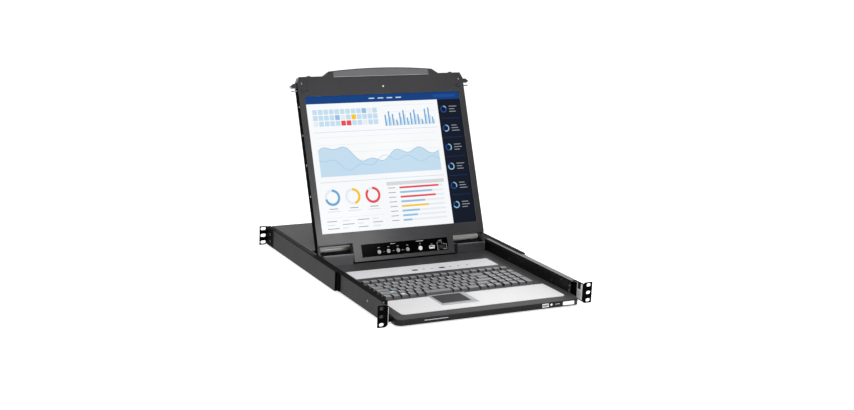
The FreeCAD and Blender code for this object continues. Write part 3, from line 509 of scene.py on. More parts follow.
def text(body, size, place, depth=0.04, align="CENTER", res=2):
    """Raised lettering as a closed mesh; place is a matrix from the letter plane (x right, y up, z out) in mm."""
    cu = bpy.data.curves.new("tmp", "FONT")
    cu.body, cu.size, cu.extrude, cu.resolution_u = body, size, depth / 2, res
    cu.align_x, cu.align_y = align, "CENTER"
    ob = bpy.data.objects.new("tmp", cu)
    bpy.context.scene.collection.objects.link(ob)
    dg = bpy.context.evaluated_depsgraph_get()
    me = bpy.data.meshes.new_from_object(ob.evaluated_get(dg))
    bm = bmesh.new()
    bm.from_mesh(me)
    bpy.data.objects.remove(ob)
    bpy.data.meshes.remove(me)
    bpy.data.curves.remove(cu)
    bmesh.ops.remove_doubles(bm, verts=bm.verts, dist=0.0005)
    return moved(bm, place)


def screw_head(r, h, centre, axis, turn=0.3):
    """Pan head with a cross recess; the head stands h above centre."""
    dome = lathe([(0, -0.2), (r, -0.2), (r, h * 0.35), (r * 0.93, h * 0.66), (r * 0.75, h * 0.88), (r * 0.45, h * 0.98), (0, h)], (0, 0, 0), segs=28)
    w, l = r * 0.20, r * 0.62
    cross = prism([(w, w), (l, w), (l, -w), (w, -w), (w, -l), (-w, -l), (-w, -w), (-l, -w), (-l, w), (-w, w), (-w, l), (w, l)],
                  "z", h * 0.35, h * 2)
    moved(cross, Matrix.Rotation(turn, 4, "Z"))
    dome = boolean(dome, cross)
    return moved(dome, Matrix.Translation(centre) @ frame_to(axis))


def flat_slot(x, z, w, h, y0, y1, n=6):
    """Obround prism along Y."""
    r = h / 2
    pts = []
    for s, a0 in ((1, -90), (-1, 90)):
        for i in range(n + 1):
            a = math.radians(a0 + 180.0 * i / n)
            pts.append((x + s * (w / 2 - r) + r * math.cos(a), z + r * math.sin(a)))
    return prism(pts, "y", y0, y1)


def simple(name, node, body, mat, bevel=0.3, tf=FLAT, angle=40, seg=2, pick=None, edge=None, smooth=38):
    """The CAD node's own shape with softened edges and a finished surface."""
    bm = node_mesh(node, tf)
    if bevel:
        soften(bm, bevel, seg, angle, edge)
    p = Piece(name, tf)
    p.add(bm, mat, pick)
    return p.done(body, [node], smooth)


# ================================================================== CHASSIS
bm = node_mesh("chassis_pan")
soften(bm, 0.25)
bmesh.ops.bisect_plane(bm, geom=bm.verts[:] + bm.edges[:] + bm.faces[:], dist=1e-4, plane_co=(0, 378.0, 0), plane_no=(0, 1, 0))


# top faces are painted by where light falls: the right front top gets a lighter, glossier painted light; the left front
# top and the strips beside the rear cover get near-black painted shade
def shell_finish(f):
    c = f.calc_center_median()
    if f.normal.z > 0.5 and c.z > 17.0:
        if c.y > 378.0 and abs(c.x) > 209.4:
            return "powder_painted_shade"
        if c.y > 378.0:
            return "cover"
        return "powder_top_lit" if c.x > 0 else "powder_painted_shade"
    return None


p = Piece("chassis_shell")
p.add(bm, "powder", shell_finish)
p.done("chassis", ["chassis_pan"])
simple("rear_cover", "rear_top_cover", "chassis", "cover", 0.25)
simple("back_panel", "rear_panel", "chassis", "powder", 0.15)
for side in ("left", "right"):
    simple("ear_front_" + side, "front_ear_" + side, "chassis", "powder_ear", 0.35)
    bm = node_mesh("rear_bracket_" + side)
    soften(bm, 0.3)
    bmesh.ops.bisect_plane(bm, geom=bm.verts[:] + bm.edges[:] + bm.faces[:], dist=1e-4, plane_co=(0, 589.0, 0), plane_no=(0, 1, 0))
    p = Piece("bracket_" + side)
    # the bracket's upward faces are painted near-black: painted shade of the gap between chassis wall and drawer
    p.add(bm, "powder", lambda f: "powder_ear" if f.calc_center_median().y > 589.0 else "powder_painted_shade" if f.normal.z > 0.9 else None)
    p.done("rear_bracket_" + side, ["rear_bracket_" + side])
bm = node_mesh("slide_outer_rails")
soften(bm, 0.15)
bmesh.ops.bisect_plane(bm, geom=bm.verts[:] + bm.edges[:] + bm.faces[:], dist=1e-4, plane_co=(0, 20.0, 0), plane_no=(0, 1, 0))
p = Piece("outer_rails")
# the rails' flat sides behind y = 20, inside the chassis, are painted near-black as painted shade; the front stays bare
# steel
p.add(bm, "zinc", lambda f: "powder_painted_shade" if 20.0 < f.calc_center_median().y and abs(f.normal.x) > 0.9 and abs(f.calc_center_median().x) < 218.0 else None)
p.done("chassis", ["slide_outer_rails"])
simple("middle_rails", "slide_middle_rails", "slide_middle", "rail", 0.15)
simple("inner_rails", "slide_inner_rails", "drawer", "zinc", 0.15)
# the end guides are near-black and matt: painted contact shadow ahead of the bracket ends
simple("end_guides", "bracket_glides", "chassis", "shade_black", 0.3)

p = Piece("side_screws")
for s in (-1, 1):
    p.add(screw_head(2.8, 1.15, (s * 220.0, 92.0, 3.0), (s, 0, 0)), "screw_dull")
    for y in (300.0, 410.0):
        p.add(screw_head(2.8, 0.95, (s * 220.0, y, 3.0), (s, 0, 0)), "screw")
    for y in (92.0, 300.0, 410.0):
        p.add(lathe([(1.5, 0), (1.5, 2.4)], (s * 217.6, y, 3.0), (s, 0, 0), 16), "screw_bright")
p.done("chassis", ["chassis_screws"])

# bosses on the rear brackets get a rolled rim
for s, side in ((-1, "left"), (1, "right")):
    p = Piece("bracket_rivets_" + side)
    for z in (9.0, -7.0):
        p.add(lathe([(1.75, 1.0), (1.75, 1.35), (2.0, 1.5), (2.7, 1.5), (3.05, 1.25), (3.1, 1.0)], (s * 225.6, 606.0, z), (s, 0, 0), 28), "screw")
    p.done("rear_bracket_" + side, [])

# ---- rear connectors
INLET_X, INLET_Z, YR = 168.0, 1.5, 640.0
bm = node_mesh("power_inlet")
soften(bm, 0.35, 2, 50, lambda e: max(v.co.y for v in e.verts) > 640.5 and min(v.co.y for v in e.verts) > 639.0)
p = Piece("mains_inlet")
p.add(bm, "black", lambda f: "port_steel" if abs(f.calc_center_median().x - INLET_X) < 8.1 and 624.9 < f.calc_center_median().y < 639.0
      and abs(f.calc_center_median().z - INLET_Z) < 5.0 and f.calc_area() < 60 and not (abs(f.normal.y) > 0.5 and f.calc_center_median().y < 626) else None)
for s in (-1, 1):
    p.add(screw_head(2.7, 1.1, (INLET_X + s * 20.0, 641.8, INLET_Z), (0, 1, 0), 0.2 + s), "screw_bright")
p.done("chassis", ["power_inlet"])


def d_outline(x, z, w, h, r, slope=0.75):
    """Outline of a D-shaped shell: the lower edge is shorter."""
    top, bot = w / 2, w / 2 - slope
    pts = []
    for cx, cz, a0 in ((x + top - r, z + h / 2 - r, 0), (x - top + r, z + h / 2 - r, 90), (x - bot + r, z - h / 2 + r, 180), (x + bot - r, z - h / 2 + r, 270)):
        for i in range(5):
            a = math.radians(a0 + 90.0 * i / 4)
            pts.append((cx + r * math.cos(a), cz + r * math.sin(a)))
    return pts


p = Piece("connectors")
for x in (-172.0, -128.0):
    z = 2.0
    # flange behind the panel, D shell, insert with its sockets
    p.add(box(x - 9.6, x + 9.6, 630.0, 640.6, z - 5.2, z + 5.2, 0.3), "port_steel")
    o0, o1 = d_outline(x, z, 18.4, 9.6, 2.4), d_outline(x, z, 17.4, 8.6, 2.0)
    rings = [[(a, 640.4, b) for a, b in o0], [(a, 645.0, b) for a, b in o0], [(a, 645.4, b) for a, b in d_outline(x, z, 18.0, 9.2, 2.2)],
             [(a, 645.4, b) for a, b in o1], [(a, 641.4, b) for a, b in o1]]
    sh = loft(rings, False)
    p.add(sh, "port_steel")
    ins = prism(d_outline(x, z, 17.38, 8.58, 2.0), "y", 640.4, 641.6)
    p.add(ins, "blue_plastic")
    for row, zz in enumerate((2.4, 0.0, -2.4)):
        for i in range(5):
            px = x + (i - 2) * 2.3 + (0.55 if row == 1 else 0)
            # socket holes as near-black cups: painted shade
            p.add(lathe([(0.0, 0.02), (0.48, 0.02), (0.62, 0.0), (0.62, -0.3)][::-1], (px, 641.6, z + zz), (0, 1, 0), 12), "recess_shade")
for x in (-84.0, -62.0):
    z = 2.0
    b = box(x - 7.9, x + 7.9, 626.0, 641.2, z - 6.5, z + 6.5, 0.3)
    well = box(x - 6.0, x + 6.0, 629.0, 643.0, z - 4.6, z + 3.6)
    latch = box(x - 2.2, x + 2.2, 632.0, 643.0, z + 3.4, z + 5.3)
    b = boolean(b, well)
    b = boolean(b, latch)
    p.add(b, "port_steel", lambda f, x=x, z=z: "black" if f.calc_center_median().y < 641.0 and abs(f.calc_center_median().x - x) < 6.2
          and z - 4.8 < f.calc_center_median().z < z + 5.4 and f.calc_center_median().y > 628.5 else None)
    for i in range(8):
        px = x + (i - 3.5) * 1.02
        p.add(prism([(629.2, z - 4.5), (639.2, z - 4.5), (639.2, z - 4.15), (633.0, z - 2.2), (632.6, z - 2.5), (638.0, z - 4.3), (629.2, z - 4.3)], "x", px - 0.2, px + 0.2), "gold")
for x in (-30.0, -6.0):
    z = 2.0
    pts = [(x - 5.9, z - 5.4), (x + 5.9, z - 5.4), (x + 5.9, z + 3.4), (x + 4.0, z + 5.4), (x - 4.0, z + 5.4), (x - 5.9, z + 3.4)]
    inn = [(x - 4.25, z - 4.0), (x + 4.25, z - 4.0), (x + 4.25, z + 2.4), (x + 2.7, z + 4.0), (x - 2.7, z + 4.0), (x - 4.25, z + 2.4)]
    b = prism(pts, "y", 626.0, 641.2)
    soften(b, 0.3, 2, 50)
    b = boolean(b, prism(inn, "y", 632.0, 643.0))
    p.add(b, "port_steel")
    p.add(box(x - 2.8, x + 2.8, 631.6, 639.0, z - 1.5, z + 1.5, 0.2), "black")
    for dx in (-1.2, 1.2):
        for dz in (-1.55, 1.55):
            p.add(box(x + dx - 0.45, x + dx + 0.45, 633.5, 638.4, z + dz - 0.1, z + dz + 0.1), "gold")
p.done("chassis", ["rear_ports"])

p = Piece("rocker")
bm = node_mesh("power_rocker")
soften(bm, 0.5, 2, 30)
p.add(bm, "black")
p.done("power_rocker", ["power_rocker"])

# ================================================================== DRAWER
simple("tray", "drawer_tray", "drawer", "powder_drawer", 0.25)
p = Piece("wall_screws")
for s in (-1, 1):
    for y, z in ((271.5, 1.0), (95.6, 1.7), (60.3, 13.6)):
        p.add(screw_head(2.2, 0.8, (s * 204.85, y, z), (-s, 0, 0), y), "screw")
p.done("drawer", [])

bm = node_mesh("keyboard_deck")
soften(bm, 0.55, 2, 12, lambda e: min(v.co.z for v in e.verts) > -8.2 and e.calc_length() > 3.0 and e.calc_face_angle(0) > math.radians(20))
p = Piece("deck")
p.add(bm, "deck")
p.done("drawer", ["keyboard_deck"], 30)
NODES["keyboard_base"].data.materials.clear()
NODES["keyboard_base"].data.materials.append(M["well"])

# palm rest: a painted panel with a fine groove set in from its edge
PX, PY0, PY1, PZ0, PZ1 = 185.0, 9.6, 98.5, -5.0, -4.2
TX0, TX1, TY0, TY1 = -84.0, -1.0, 34.8, 102.2


def palm_outline(d, y_top=None):
    r = 9.0 - d
    pts = rrect(-PX + d, PX - d, PY0 + d, PY1 - d, (0, 0, max(r, 0.5), max(r, 0.5)), 6)
    # corners come as x1y1, x0y1, then the two round ones; the notch for the touchpad goes into the top edge
    i = 1
    notch = [(TX1 + d, PY1 - d), (TX1 + d, TY0 - d), (TX0 - d, TY0 - d), (TX0 - d, PY1 - d)]
    return pts[:i] + notch + pts[i:]


def closed_loft(*rings):
    return loft([list(r) for r in rings])


def zed(pts, z):
    return [(x, y, z) for x, y in pts]


bm = closed_loft(zed(palm_outline(0.0), PZ0), zed(palm_outline(0.0), PZ1 - 0.25), zed(palm_outline(0.3), PZ1),
                 zed(palm_outline(5.0), PZ1), zed(palm_outline(5.15), PZ1 - 0.18), zed(palm_outline(5.55), PZ1 - 0.18), zed(palm_outline(5.7), PZ1))
p = Piece("palm_panel")
p.add(bm, "palm")
p.done("drawer", ["palm_rest"], 30)

# accent strip
AX, AY0, AY1 = 169.7, 257.5, 311.0
bm = node_mesh("accent_strip")
soften(bm, 0.2, 2, 50, lambda e: min(v.co.z for v in e.verts) > -4.6 and e.calc_length() > 20)
p = Piece("accent_panel")
p.add(bm, "strip")
p.done("drawer", ["accent_strip"], 30)
p = Piece("indicator_windows")
for x in (-23.6, 41.4):
    pts = [(a, b) for a, b in rrect(x - 6.98, x + 6.98, 273.52, 281.98, 2.4, 6)]
    p.add(loft([zed(pts, -5.0), zed(pts, -4.5), zed([(x + (a - x) * 0.96, 277.8 + (b - 277.8) * 0.86) for a, b in pts], -4.36)]), "indicator")
for x in (-2.0, 17.7, 61.9, 81.7, 104.0):
    p.add(lathe([(2.8, 0), (2.8, 0.5), (2.55, 0.62), (1.5, 0.72), (0, 0.75)], (x, 279.0, -5.0), (0, 0, 1), 20), "indicator_dot")
p.done("drawer", ["strip_indicators"])

# touchpad
simple("pad_frame", "touchpad_bezel", "drawer", "pad_frame", 0, smooth=35)
simple("pad", "touchpad_pad", "drawer", "pad", 0.2, edge=lambda e: min(v.co.z for v in e.verts) > -4.0)
for side in ("left", "right"):
    simple("pad_button_" + side, "touchpad_button_" + side, "touchpad_button_" + side, "pad_frame", 0.3,
           edge=lambda e: min(v.co.z for v in e.verts) > -3.9)

# front bar
bm = node_mesh("front_bar")
soften(bm, 0.9, 3, 60, lambda e: max(v.co.y for v in e.verts) < 14.5 and e.calc_length() > 60 and min(v.co.z for v in e.verts) < -18.5)
pockets = join(lathe([(2.7, -0.6), (2.7, 3.0)], (137.6, -12.0, -12.2), (0, -1, 0), 28), box(146.8, 157.4, -14.0, -11.5, -13.0, -11.4),
               box(-148.0, -96.0, -14.0, -11.6, -13.2, -12.0))
bm = boolean(bm, pockets)
p = Piece("front_handle")
p.add(bm, "bar")
p.add(box(-147.9, -96.1, -11.97, -11.5, -13.1, -12.1, 0.1), "bar_line")
p.add(box(147.0, 157.2, -11.97, -11.4, -12.8, -11.6, 0.1), "bar_mark")
p.done("drawer", ["front_bar"], 35)
p = Piece("front_lamp")
p.add(lathe([(2.55, -0.55), (2.55, -0.1), (2.3, 0.0), (0, 0.0)], (137.6, -11.98, -12.2), (0, -1, 0), 28), "lens")
p.done("drawer", [])
UX, UZ = 123.7, -12.6
bm = node_mesh("front_usb_port")
soften(bm, 0.2, 2, 50, lambda e: max(v.co.y for v in e.verts) < -11.5)
p = Piece("front_usb")
p.add(bm, "port_bright")
p.add(box(UX - 5.4, UX + 5.4, -9.5, 0.0, UZ + 0.2, UZ + 2.0, 0.1), "white_port")
for i in range(4):
    p.add(box(UX - 3.9 + 2.6 * i - 0.5, UX - 3.9 + 2.6 * i + 0.5, -9.2, -2.0, UZ + 0.08, UZ + 0.25), "gold")
p.done("drawer", ["front_usb_port"])
bm = node_mesh("front_label_plate")
soften(bm, 0.2, 2, 50)
p = Piece("blank_label")
p.add(bm, "label")
p.done("drawer", ["front_label_plate"])

# hinge blocks, shafts and the stop bar
for s, side in ((-1, "left"), (1, "right")):
    bm = node_mesh("hinge_block_" + side)
    soften(bm, 0.5, 2, 60, lambda e: min(v.co.y for v in e.verts) < 395.5 and e.calc_length() > 4 and min(v.co.z for v in e.verts) > -4.6)
    # the top behind y = 370.4 is painted near-black as the shade of the recess behind the front lip
    bmesh.ops.bisect_plane(bm, geom=bm.verts[:] + bm.edges[:] + bm.faces[:], dist=1e-4, plane_co=(0, 370.4, 0), plane_no=(0, 1, 0))
    p = Piece("hinge_housing_" + side)
    # the left block takes the lighter copy of the hinge paint: painted light
    p.add(bm, "hinge" if s > 0 else "hinge_painted_light", lambda f: "shade_black" if f.normal.z > 0.7 and f.calc_center_median().y > 370.3 else None)
    for x in (143.0, 181.0):
        p.add(screw_head(2.6, 1.0, (s * x, 403.0, -2.0), (0, 0, 1), x), "screw")
    p.done("drawer", ["hinge_block_" + side], 35)
p = Piece("hinge_pins")
for s in (-1, 1):
    p.add(lathe([(2.9, 0), (3.5, 0.6), (3.5, 92.4), (2.9, 93.0)], (s * 110.0, 386.0, 12.0), (s, 0, 0), 32), "shaft")
p.done("drawer", ["hinge_shafts"])
p = Piece("stop_bar")
p.add(lathe([(4.8, 0), (5.6, 0.8), (5.6, 389.8), (4.8, 390.6)], (-186.0, 418.0, 16.4), (1, 0, 0), 48), "bar_steel")
p.done("drawer", ["lid_stop_bar"])

# ------------------------------------------------------------------ keys
KU, KX0, KPX, PITCH = 18.0, -172.0, 100.0, 19.1
ROWY = {"bottom": 120.2, "lower": 139.3, "home": 158.4, "upper": 177.5, "number": 196.6, "function": 224.0}
KZ0, KZ1 = -7.8, -0.8
ROWS = {
    "function": [(1, t) for t in ("Esc", "F1", "F2", "F3", "F4", "F5", "F6", "F7", "F8", "F9", "F10", "F11", "F12", "Ins", "Del")],
    "number": [(1, t) for t in ("`", "1", "2", "3", "4", "5", "6", "7", "8", "9", "0", "-", "=")] + [(2, "Back")],
    "upper": [(1.5, "Tab")] + [(1, t) for t in "QWERTYUIOP[]"] + [(1.5, "\\")],
    "home": [(1.75, "Caps")] + [(1, t) for t in "ASDFGHJKL;'"] + [(2.25, "Enter")],
    "lower": [(2.25, "Shift")] + [(1, t) for t in "ZXCVBNM,./"] + [(1.75, "Shift"), (1, "Up")],
    "bottom": [(1, t) for t in ("Ctrl", "Fn", "Alt", "<", ">")] + [(-3.5, "")] + [(1, "Alt"), (1, "Ctrl"), (1.5, "Menu"), (1, "Lt"), (1, "Dn"), (1, "Rt")],
}
NUM = {"function": ["Prt", "Scr", "Brk", "End"], "number": ["Num", "/", "*", "-"], "upper": ["7", "8", "9"], "home": ["4", "5", "6"],
       "lower": ["1", "2", "3"], "bottom": ["0", "00", "."]}
SHIFTED = dict(zip("1234567890-=[];',./`\\", "!@#$%^&*()_+{}:\"<>?~|"))


def keycap(x0, x1, yc, depth, ext=0.0, dish=0.42):
    g = 0.5
    a0, a1 = x0 + g, x1 - g
    b0, b1 = yc - depth / 2, yc + depth / 2 + ext
    rings = []

    def ring(t, z, inset=0.0, r=0.8):
        return rrect(a0 + 1.9 * t + inset, a1 - 1.9 * t - inset, b0 + 2.2 * t + inset, b1 - 1.2 * t - inset, r, 3), z

    for t, z, i, r in ((0, KZ0, 0, 0.7), (0.12, KZ0 + 0.8, 0, 0.8), (0.86, KZ1 - 1.15, 0, 1.4), (0.96, KZ1 - 0.42, 0.05, 1.7), (1.0, KZ1 - 0.12, 0.28, 1.8), (1.0, KZ1 - 0.02, 0.75, 1.9)):
        pts, zz = ring(t, z, i, r)
        rings.append([(x, y, zz) for x, y in pts])
    top = rings[-1]
    cx, cy = sum(q[0] for q in top) / len(top), sum(q[1] for q in top) / len(top)
    hw = (a1 - a0) / 2 - 2.6

    def dz(x):
        if dish <= 0:
            return 0.0
        u = (x - cx) / hw if a1 - a0 < 30 else max(0.0, abs(x - cx) - hw + 7.0) / 7.0
        return -dish * (1 - min(1.0, u * u))

    for k in (0.9, 0.72, 0.5, 0.25, 0.02):
        rings.append([(cx + (x - cx) * k, cy + (y - cy) * k, KZ1 - 0.02 + dz(cx + (x - cx) * k)) for x, y, z in top])
    return loft(rings)


# cap faces that are not tops get darker copies of the key plastic: painted shade, deepest on the sides
def flank_shade(f):
    if f.normal.z >= 0.72:
        return None
    return "key_front_shade" if f.normal.y < -0.6 else "key_side_shade"


def legend(p, t, x0, x1, yc, depth, mat="legend", ext=0.0):
    """Print on the cap: the sign at the upper left, a shifted sign above it where there is one."""
    wide = x1 - x0
    if not t:
        return
    xl, xr = x0 + 3.3, x1 - 3.3
    yt = yc + depth / 2 - 1.6 + ext
    z = KZ1 - 0.16
    word = len(t) > 1 and t not in ("00",)
    size = 3.6 if word and wide > 24 else 3.0 if word else 6.2
    if t in ("Up", "Dn", "Lt", "Rt"):
        a = {"Up": 90, "Dn": 270, "Lt": 180, "Rt": 0}[t]
        arrow = prism([(-2.2, -0.35), (0.4, -0.35), (0.4, -1.4), (2.2, 0), (0.4, 1.4), (0.4, 0.35), (-2.2, 0.35)], "z", -0.06, 0.06)
        p.add(moved(arrow, Matrix.Translation(((x0 + x1) / 2 - 0.6, yc + 1.2, z - 0.12)) @ Matrix.Rotation(math.radians(a), 4, "Z")), mat)
        return
    if t in SHIFTED:
        p.add(text(SHIFTED[t], 4.8, Matrix.Translation((xl + 1.8, yt - 2.4, z - 0.03)), 0.16), mat)
        p.add(text(t, 4.8, Matrix.Translation((xl + 1.8, yt - 7.6, z - 0.03)), 0.16), mat)
        return
    off = 0.0 if word else 0.4
    bm = text(t, size, Matrix.Translation((xl - 0.2, yt - size * 0.5 - 0.2, z + 0.0)), 0.16, "LEFT")
    for v in bm.verts:   # follow the dish
        u = (v.co.x - (x0 + x1) / 2) / (wide / 2 - 3.1)
        v.co.z -= (0.42 * (1 - min(1, u * u)) if wide < 30 else 0.42) - 0.14
    p.add(bm, mat)


for row, items in ROWS.items():
    p = Piece("keys_" + row)
    x, d = KX0, (13.4 if row == "function" else PITCH - 1.2)
    yc = ROWY[row]
    n = 0
    for u, t in items:
        w = abs(u) * KU
        if u < 0:
            sp = Piece("key_space")
            sp.add(keycap(x, x + w, yc, d, dish=-1), "key", flank_shade)
            sp.done("key_space_bar", ["key_space_bar"], 50)
        else:
            p.add(keycap(x, x + w, yc, d), "key", flank_shade)
            legend(p, t, x, x + w, yc, d, "legend")
        x += w
    for c in range(4):
        px = KPX + c * KU
        if row in ("function", "number") or c < 3:
            p.add(keycap(px, px + KU, yc, d), "key", flank_shade)
            legend(p, NUM[row][c], px, px + KU, yc, d)
        elif row in ("home", "bottom"):
            p.add(keycap(px, px + KU, yc, d, PITCH), "key", flank_shade)
            legend(p, "+" if row == "home" else "Ent", px, px + KU, yc, d, ext=PITCH)
    # a pale blue patch on one key top and a white patch on another
    if row == "lower":
        p.add(box(-147.0, -134.5, 139.5, 147.0, KZ1 - 0.5, KZ1 - 0.34), "key_patch_blue")
    if row == "bottom":
        p.add(box(-133.0, -121.5, 121.0, 128.0, KZ1 - 0.5, KZ1 - 0.30), "legend")
    p.done("keys_%s_row" % row, ["keys_%s_row" % row], 50)

# ================================================================== LID
bm = node_mesh("lid_bezel", LID)
soften(bm, 0.5, 2, 40, lambda e: max(v.co.y for v in e.verts) < 0.05 and e.calc_length() > 6)
p = Piece("bezel", LID)
# outer side faces take the darker copy of the lid plastic: painted shade
p.add(bm, "lid", lambda f: "lid_side_shade" if abs(f.normal.x) > 0.9 and abs(f.calc_center_median().x) > 203.3 else None)
p.done("lid", ["lid_bezel"], 35)

bm = node_mesh("lid_back_cover", LID)
soften(bm, 0.8, 2, 40, lambda e: min(v.co.y for v in e.verts) > 17.4 and e.calc_length() > 5)
p = Piece("back_cover", LID)
# outer side faces take the darker copy of the lid plastic: painted shade
p.add(bm, "lid_back", lambda f: "lid_side_shade" if abs(f.normal.x) > 0.9 and abs(f.calc_center_median().x) > 203.3 else None)
p.done("lid", ["lid_back_cover"], 35)

# handle: arched body with a raised paler insert along its front
bm = node_mesh("lid_handle", LID)
soften(bm, 1.0, 3, 40, lambda e: e.calc_length() > 2 and min(v.co.z for v in e.verts) > 345.9 and not (abs(e.verts[0].co.y - e.verts[1].co.y) > 5 and min(v.co.y for v in e.verts) > 0.1))
p = Piece("upper_handle", LID)
# the handle's side ends take the darker copy of the lid plastic: painted shade
p.add(bm, "lid", lambda f: "lid_side_shade" if abs(f.normal.x) > 0.6 and abs(f.calc_center_median().x) > 190.0 else None)
p.done("lid", ["lid_handle"], 35)


def arch_top(x, drop):
    """Height of the arch at x, lowered by drop."""
    # circle through (+-127, 356.5) and (0, 362.5)
    h, c = 6.0, 127.0
    r = (c * c + h * h) / (2 * h)
    return 362.5 - r + math.sqrt(r * r - x * x) - drop


pts = [(-116.5, 344.2), (116.5, 344.2)]
n = 24
for i in range(n + 1):
    x = 116.5 - 233.0 * i / n
    pts.append((x, arch_top(x, 2.2)))
bm = prism(pts, "y", -0.75, 1.0)
soften(bm, 0.55, 2, 40, lambda e: max(v.co.y for v in e.verts) < -0.7)
p = Piece("handle_insert", LID)
p.add(bm, "handle")
# a thin pale strip along the insert's lower edge: painted highlight line
p.add(box(-116.8, 116.8, -0.95, -0.3, 343.1, 344.1, 0.2), "handle_highlight_strip")
p.done("lid", [], 35)

# ---- screen with a plain control-room style page
SXH, SV0, SV1 = 188.3, 0.5, 301.9
WF = 2.25
p = Piece("display", LID)
UI = {
    "ui_white": (248, 250, 252), "ui_blue": (4, 62, 130), "ui_navy": (6, 16, 34), "ui_navy_hi": (20, 74, 150), "ui_pale": (232, 237, 243), "ui_grey": (214, 218, 222),
    "ui_line": (146, 192, 226), "ui_line2": (196, 222, 240), "ui_text": (150, 156, 164), "ui_dark": (64, 72, 84), "ui_yellow": (246, 198, 30), "ui_red": (232, 72, 84),
    "ui_sky": (108, 168, 214), "ui_black": (3, 3, 4),
}
for k, c in UI.items():
    M[k] = glow(k, lin(*c), 1.0)
p.add(box(-192.0, 192.0, WF + 0.01, 4.3, -4.0, 306.4), "ui_black", lambda f: None if f.normal.y < -0.5 else "backlight")
LAYER = [0]


def ui_rect(x0, y0, x1, y1, m, up=1, r=0.0):
    """A patch on the page: x from the left and y down from the top, in mm; up is its layer."""
    t = 0.02 * up
    a, b = -SXH + x0, -SXH + x1
    c, d = SV1 - y1, SV1 - y0
    if r:
        p.add(prism(rrect(a, b, c, d, r, 3), "y", WF - t, WF - t + 0.03), m)
    else:
        p.add(box(a, b, WF - t, WF - t + 0.03, c, d), m)


def ui_line(points, width, m, up=2):
    """A polyline as a ribbon of constant width."""
    t = 0.02 * up
    L, R = [], []
    for i, (x, y) in enumerate(points):
        a = points[max(i - 1, 0)]
        b = points[min(i + 1, len(points) - 1)]
        dx, dy = b[0] - a[0], b[1] - a[1]
        n = math.hypot(dx, dy) or 1
        ox, oy = -dy / n * width / 2, dx / n * width / 2
        L.append((-SXH + x + ox, SV1 - (y + oy)))
        R.append((-SXH + x - ox, SV1 - (y - oy)))
    rings = []
    for (lx, lz), (rx, rz) in zip(L, R):
        rings.append([(lx, WF - t, lz), (rx, WF - t, rz), (rx, WF - t + 0.03, rz), (lx, WF - t + 0.03, lz)])
    p.add(loft(rings), m)


def ui_arc(cx, cy, r0, r1, a0, a1, m, up=2, n=40):
    t = 0.02 * up
    rings = []
    for i in range(n + 1):
        a = math.radians(a0 + (a1 - a0) * i / n)
        s, c = math.sin(a), math.cos(a)
        pin = (-SXH + cx + r0 * s, SV1 - (cy - r0 * c))
        pout = (-SXH + cx + r1 * s, SV1 - (cy - r1 * c))
        rings.append([(pin[0], WF - t, pin[1]), (pout[0], WF - t, pout[1]), (pout[0], WF - t + 0.03, pout[1]), (pin[0], WF - t + 0.03, pin[1])])
    p.add(loft(rings), m)


W, H = 2 * SXH, SV1 - SV0
rnd = random.Random(7)
ui_rect(0, 0, W, H, "ui_white", 0)
ui_rect(0, 0, W, 17, "ui_blue")
for i in range(4):
    ui_rect(150 + 22 * i, 7.4, 164 + 22 * i, 9.8, "ui_line2", 2, 1.0)
ui_rect(310, 5.4, 366, 11.6, "ui_navy_hi", 2, 2.6)
# navy column on the right, with small level meters
NX = W - 58.0
ui_rect(NX, 17, W, H, "ui_navy")
for i in range(6):
    y = 28 + 44.0 * i
    ui_arc(NX + 14, y + 12, 5.6, 8.0, 0, 359.9, "ui_navy_hi", 2, 32)
    ui_arc(NX + 14, y + 12, 5.6, 8.0, 0, (70, 210, 150, 290, 120, 250)[i], "ui_line", 3, 24)
    for k in range(3):
        ui_rect(NX + 28, y + 5 + 6 * k, NX + 28 + (20, 14, 17)[(k + i) % 3], y + 6.6 + 6 * k, "ui_text", 2, 0.7)
    if i < 5:
        ui_rect(NX + 6, y + 33, W - 6, y + 33.5, "ui_navy_hi", 2)
# status tiles across the top of the page
for i in range(12):
    for j in range(3):
        q = rnd.random()
        m = "ui_line2" if q < 0.58 else "ui_pale" if q < 0.76 else "ui_line" if q < 0.84 else "ui_yellow" if q < 0.90 else "ui_red"
        x, y = 12 + 13.0 * i, 30 + 13.0 * j
        ui_rect(x, y, x + 11, y + 11, m, 1, 1.2)
# grouped bars beside them
bx, by, bw, bh = 180.0, 26.0, 128.0, 46.0
for k in range(4):
    ui_rect(bx, by + bh * k / 3 - 0.2, bx + bw, by + bh * k / 3 + 0.2, "ui_grey", 1)
for i in range(14):
    h = 8 + 34 * abs(math.sin(i * 0.9 + 0.6)) * (0.6 + 0.4 * rnd.random())
    h2 = h * (0.45 + 0.3 * rnd.random())
    ui_rect(bx + 3 + 9 * i, by + bh - h, bx + 6.4 + 9 * i, by + bh, "ui_sky", 2)
    ui_rect(bx + 6.8 + 9 * i, by + bh - h2, bx + 9.6 + 9 * i, by + bh, "ui_line2", 2)
ui_rect(10, 80, NX - 8, 80.5, "ui_sky", 1)
# wide area chart in the middle
cx0, cx1, cy0, cy1 = 14.0, NX - 12.0, 92.0, 178.0
for k in range(6):
    y = cy0 + (cy1 - cy0) * k / 5
    ui_rect(cx0, y - 0.2, cx1, y + 0.2, "ui_grey", 1)
for k in range(12):
    x = cx0 + (cx1 - cx0) * k / 11
    ui_rect(x - 0.15, cy1, x + 0.15, cy1 + 2.0, "ui_text", 1)


def wave(x, a, b, c):
    u = (x - cx0) / (cx1 - cx0)
    return (cy1 - (cy1 - cy0) * (a + b * math.sin(u * 9.5 + c) * (0.6 + 0.4 * math.sin(u * 4.1 + 1)) + 0.07 * math.sin(u * 31 + c * 2)))


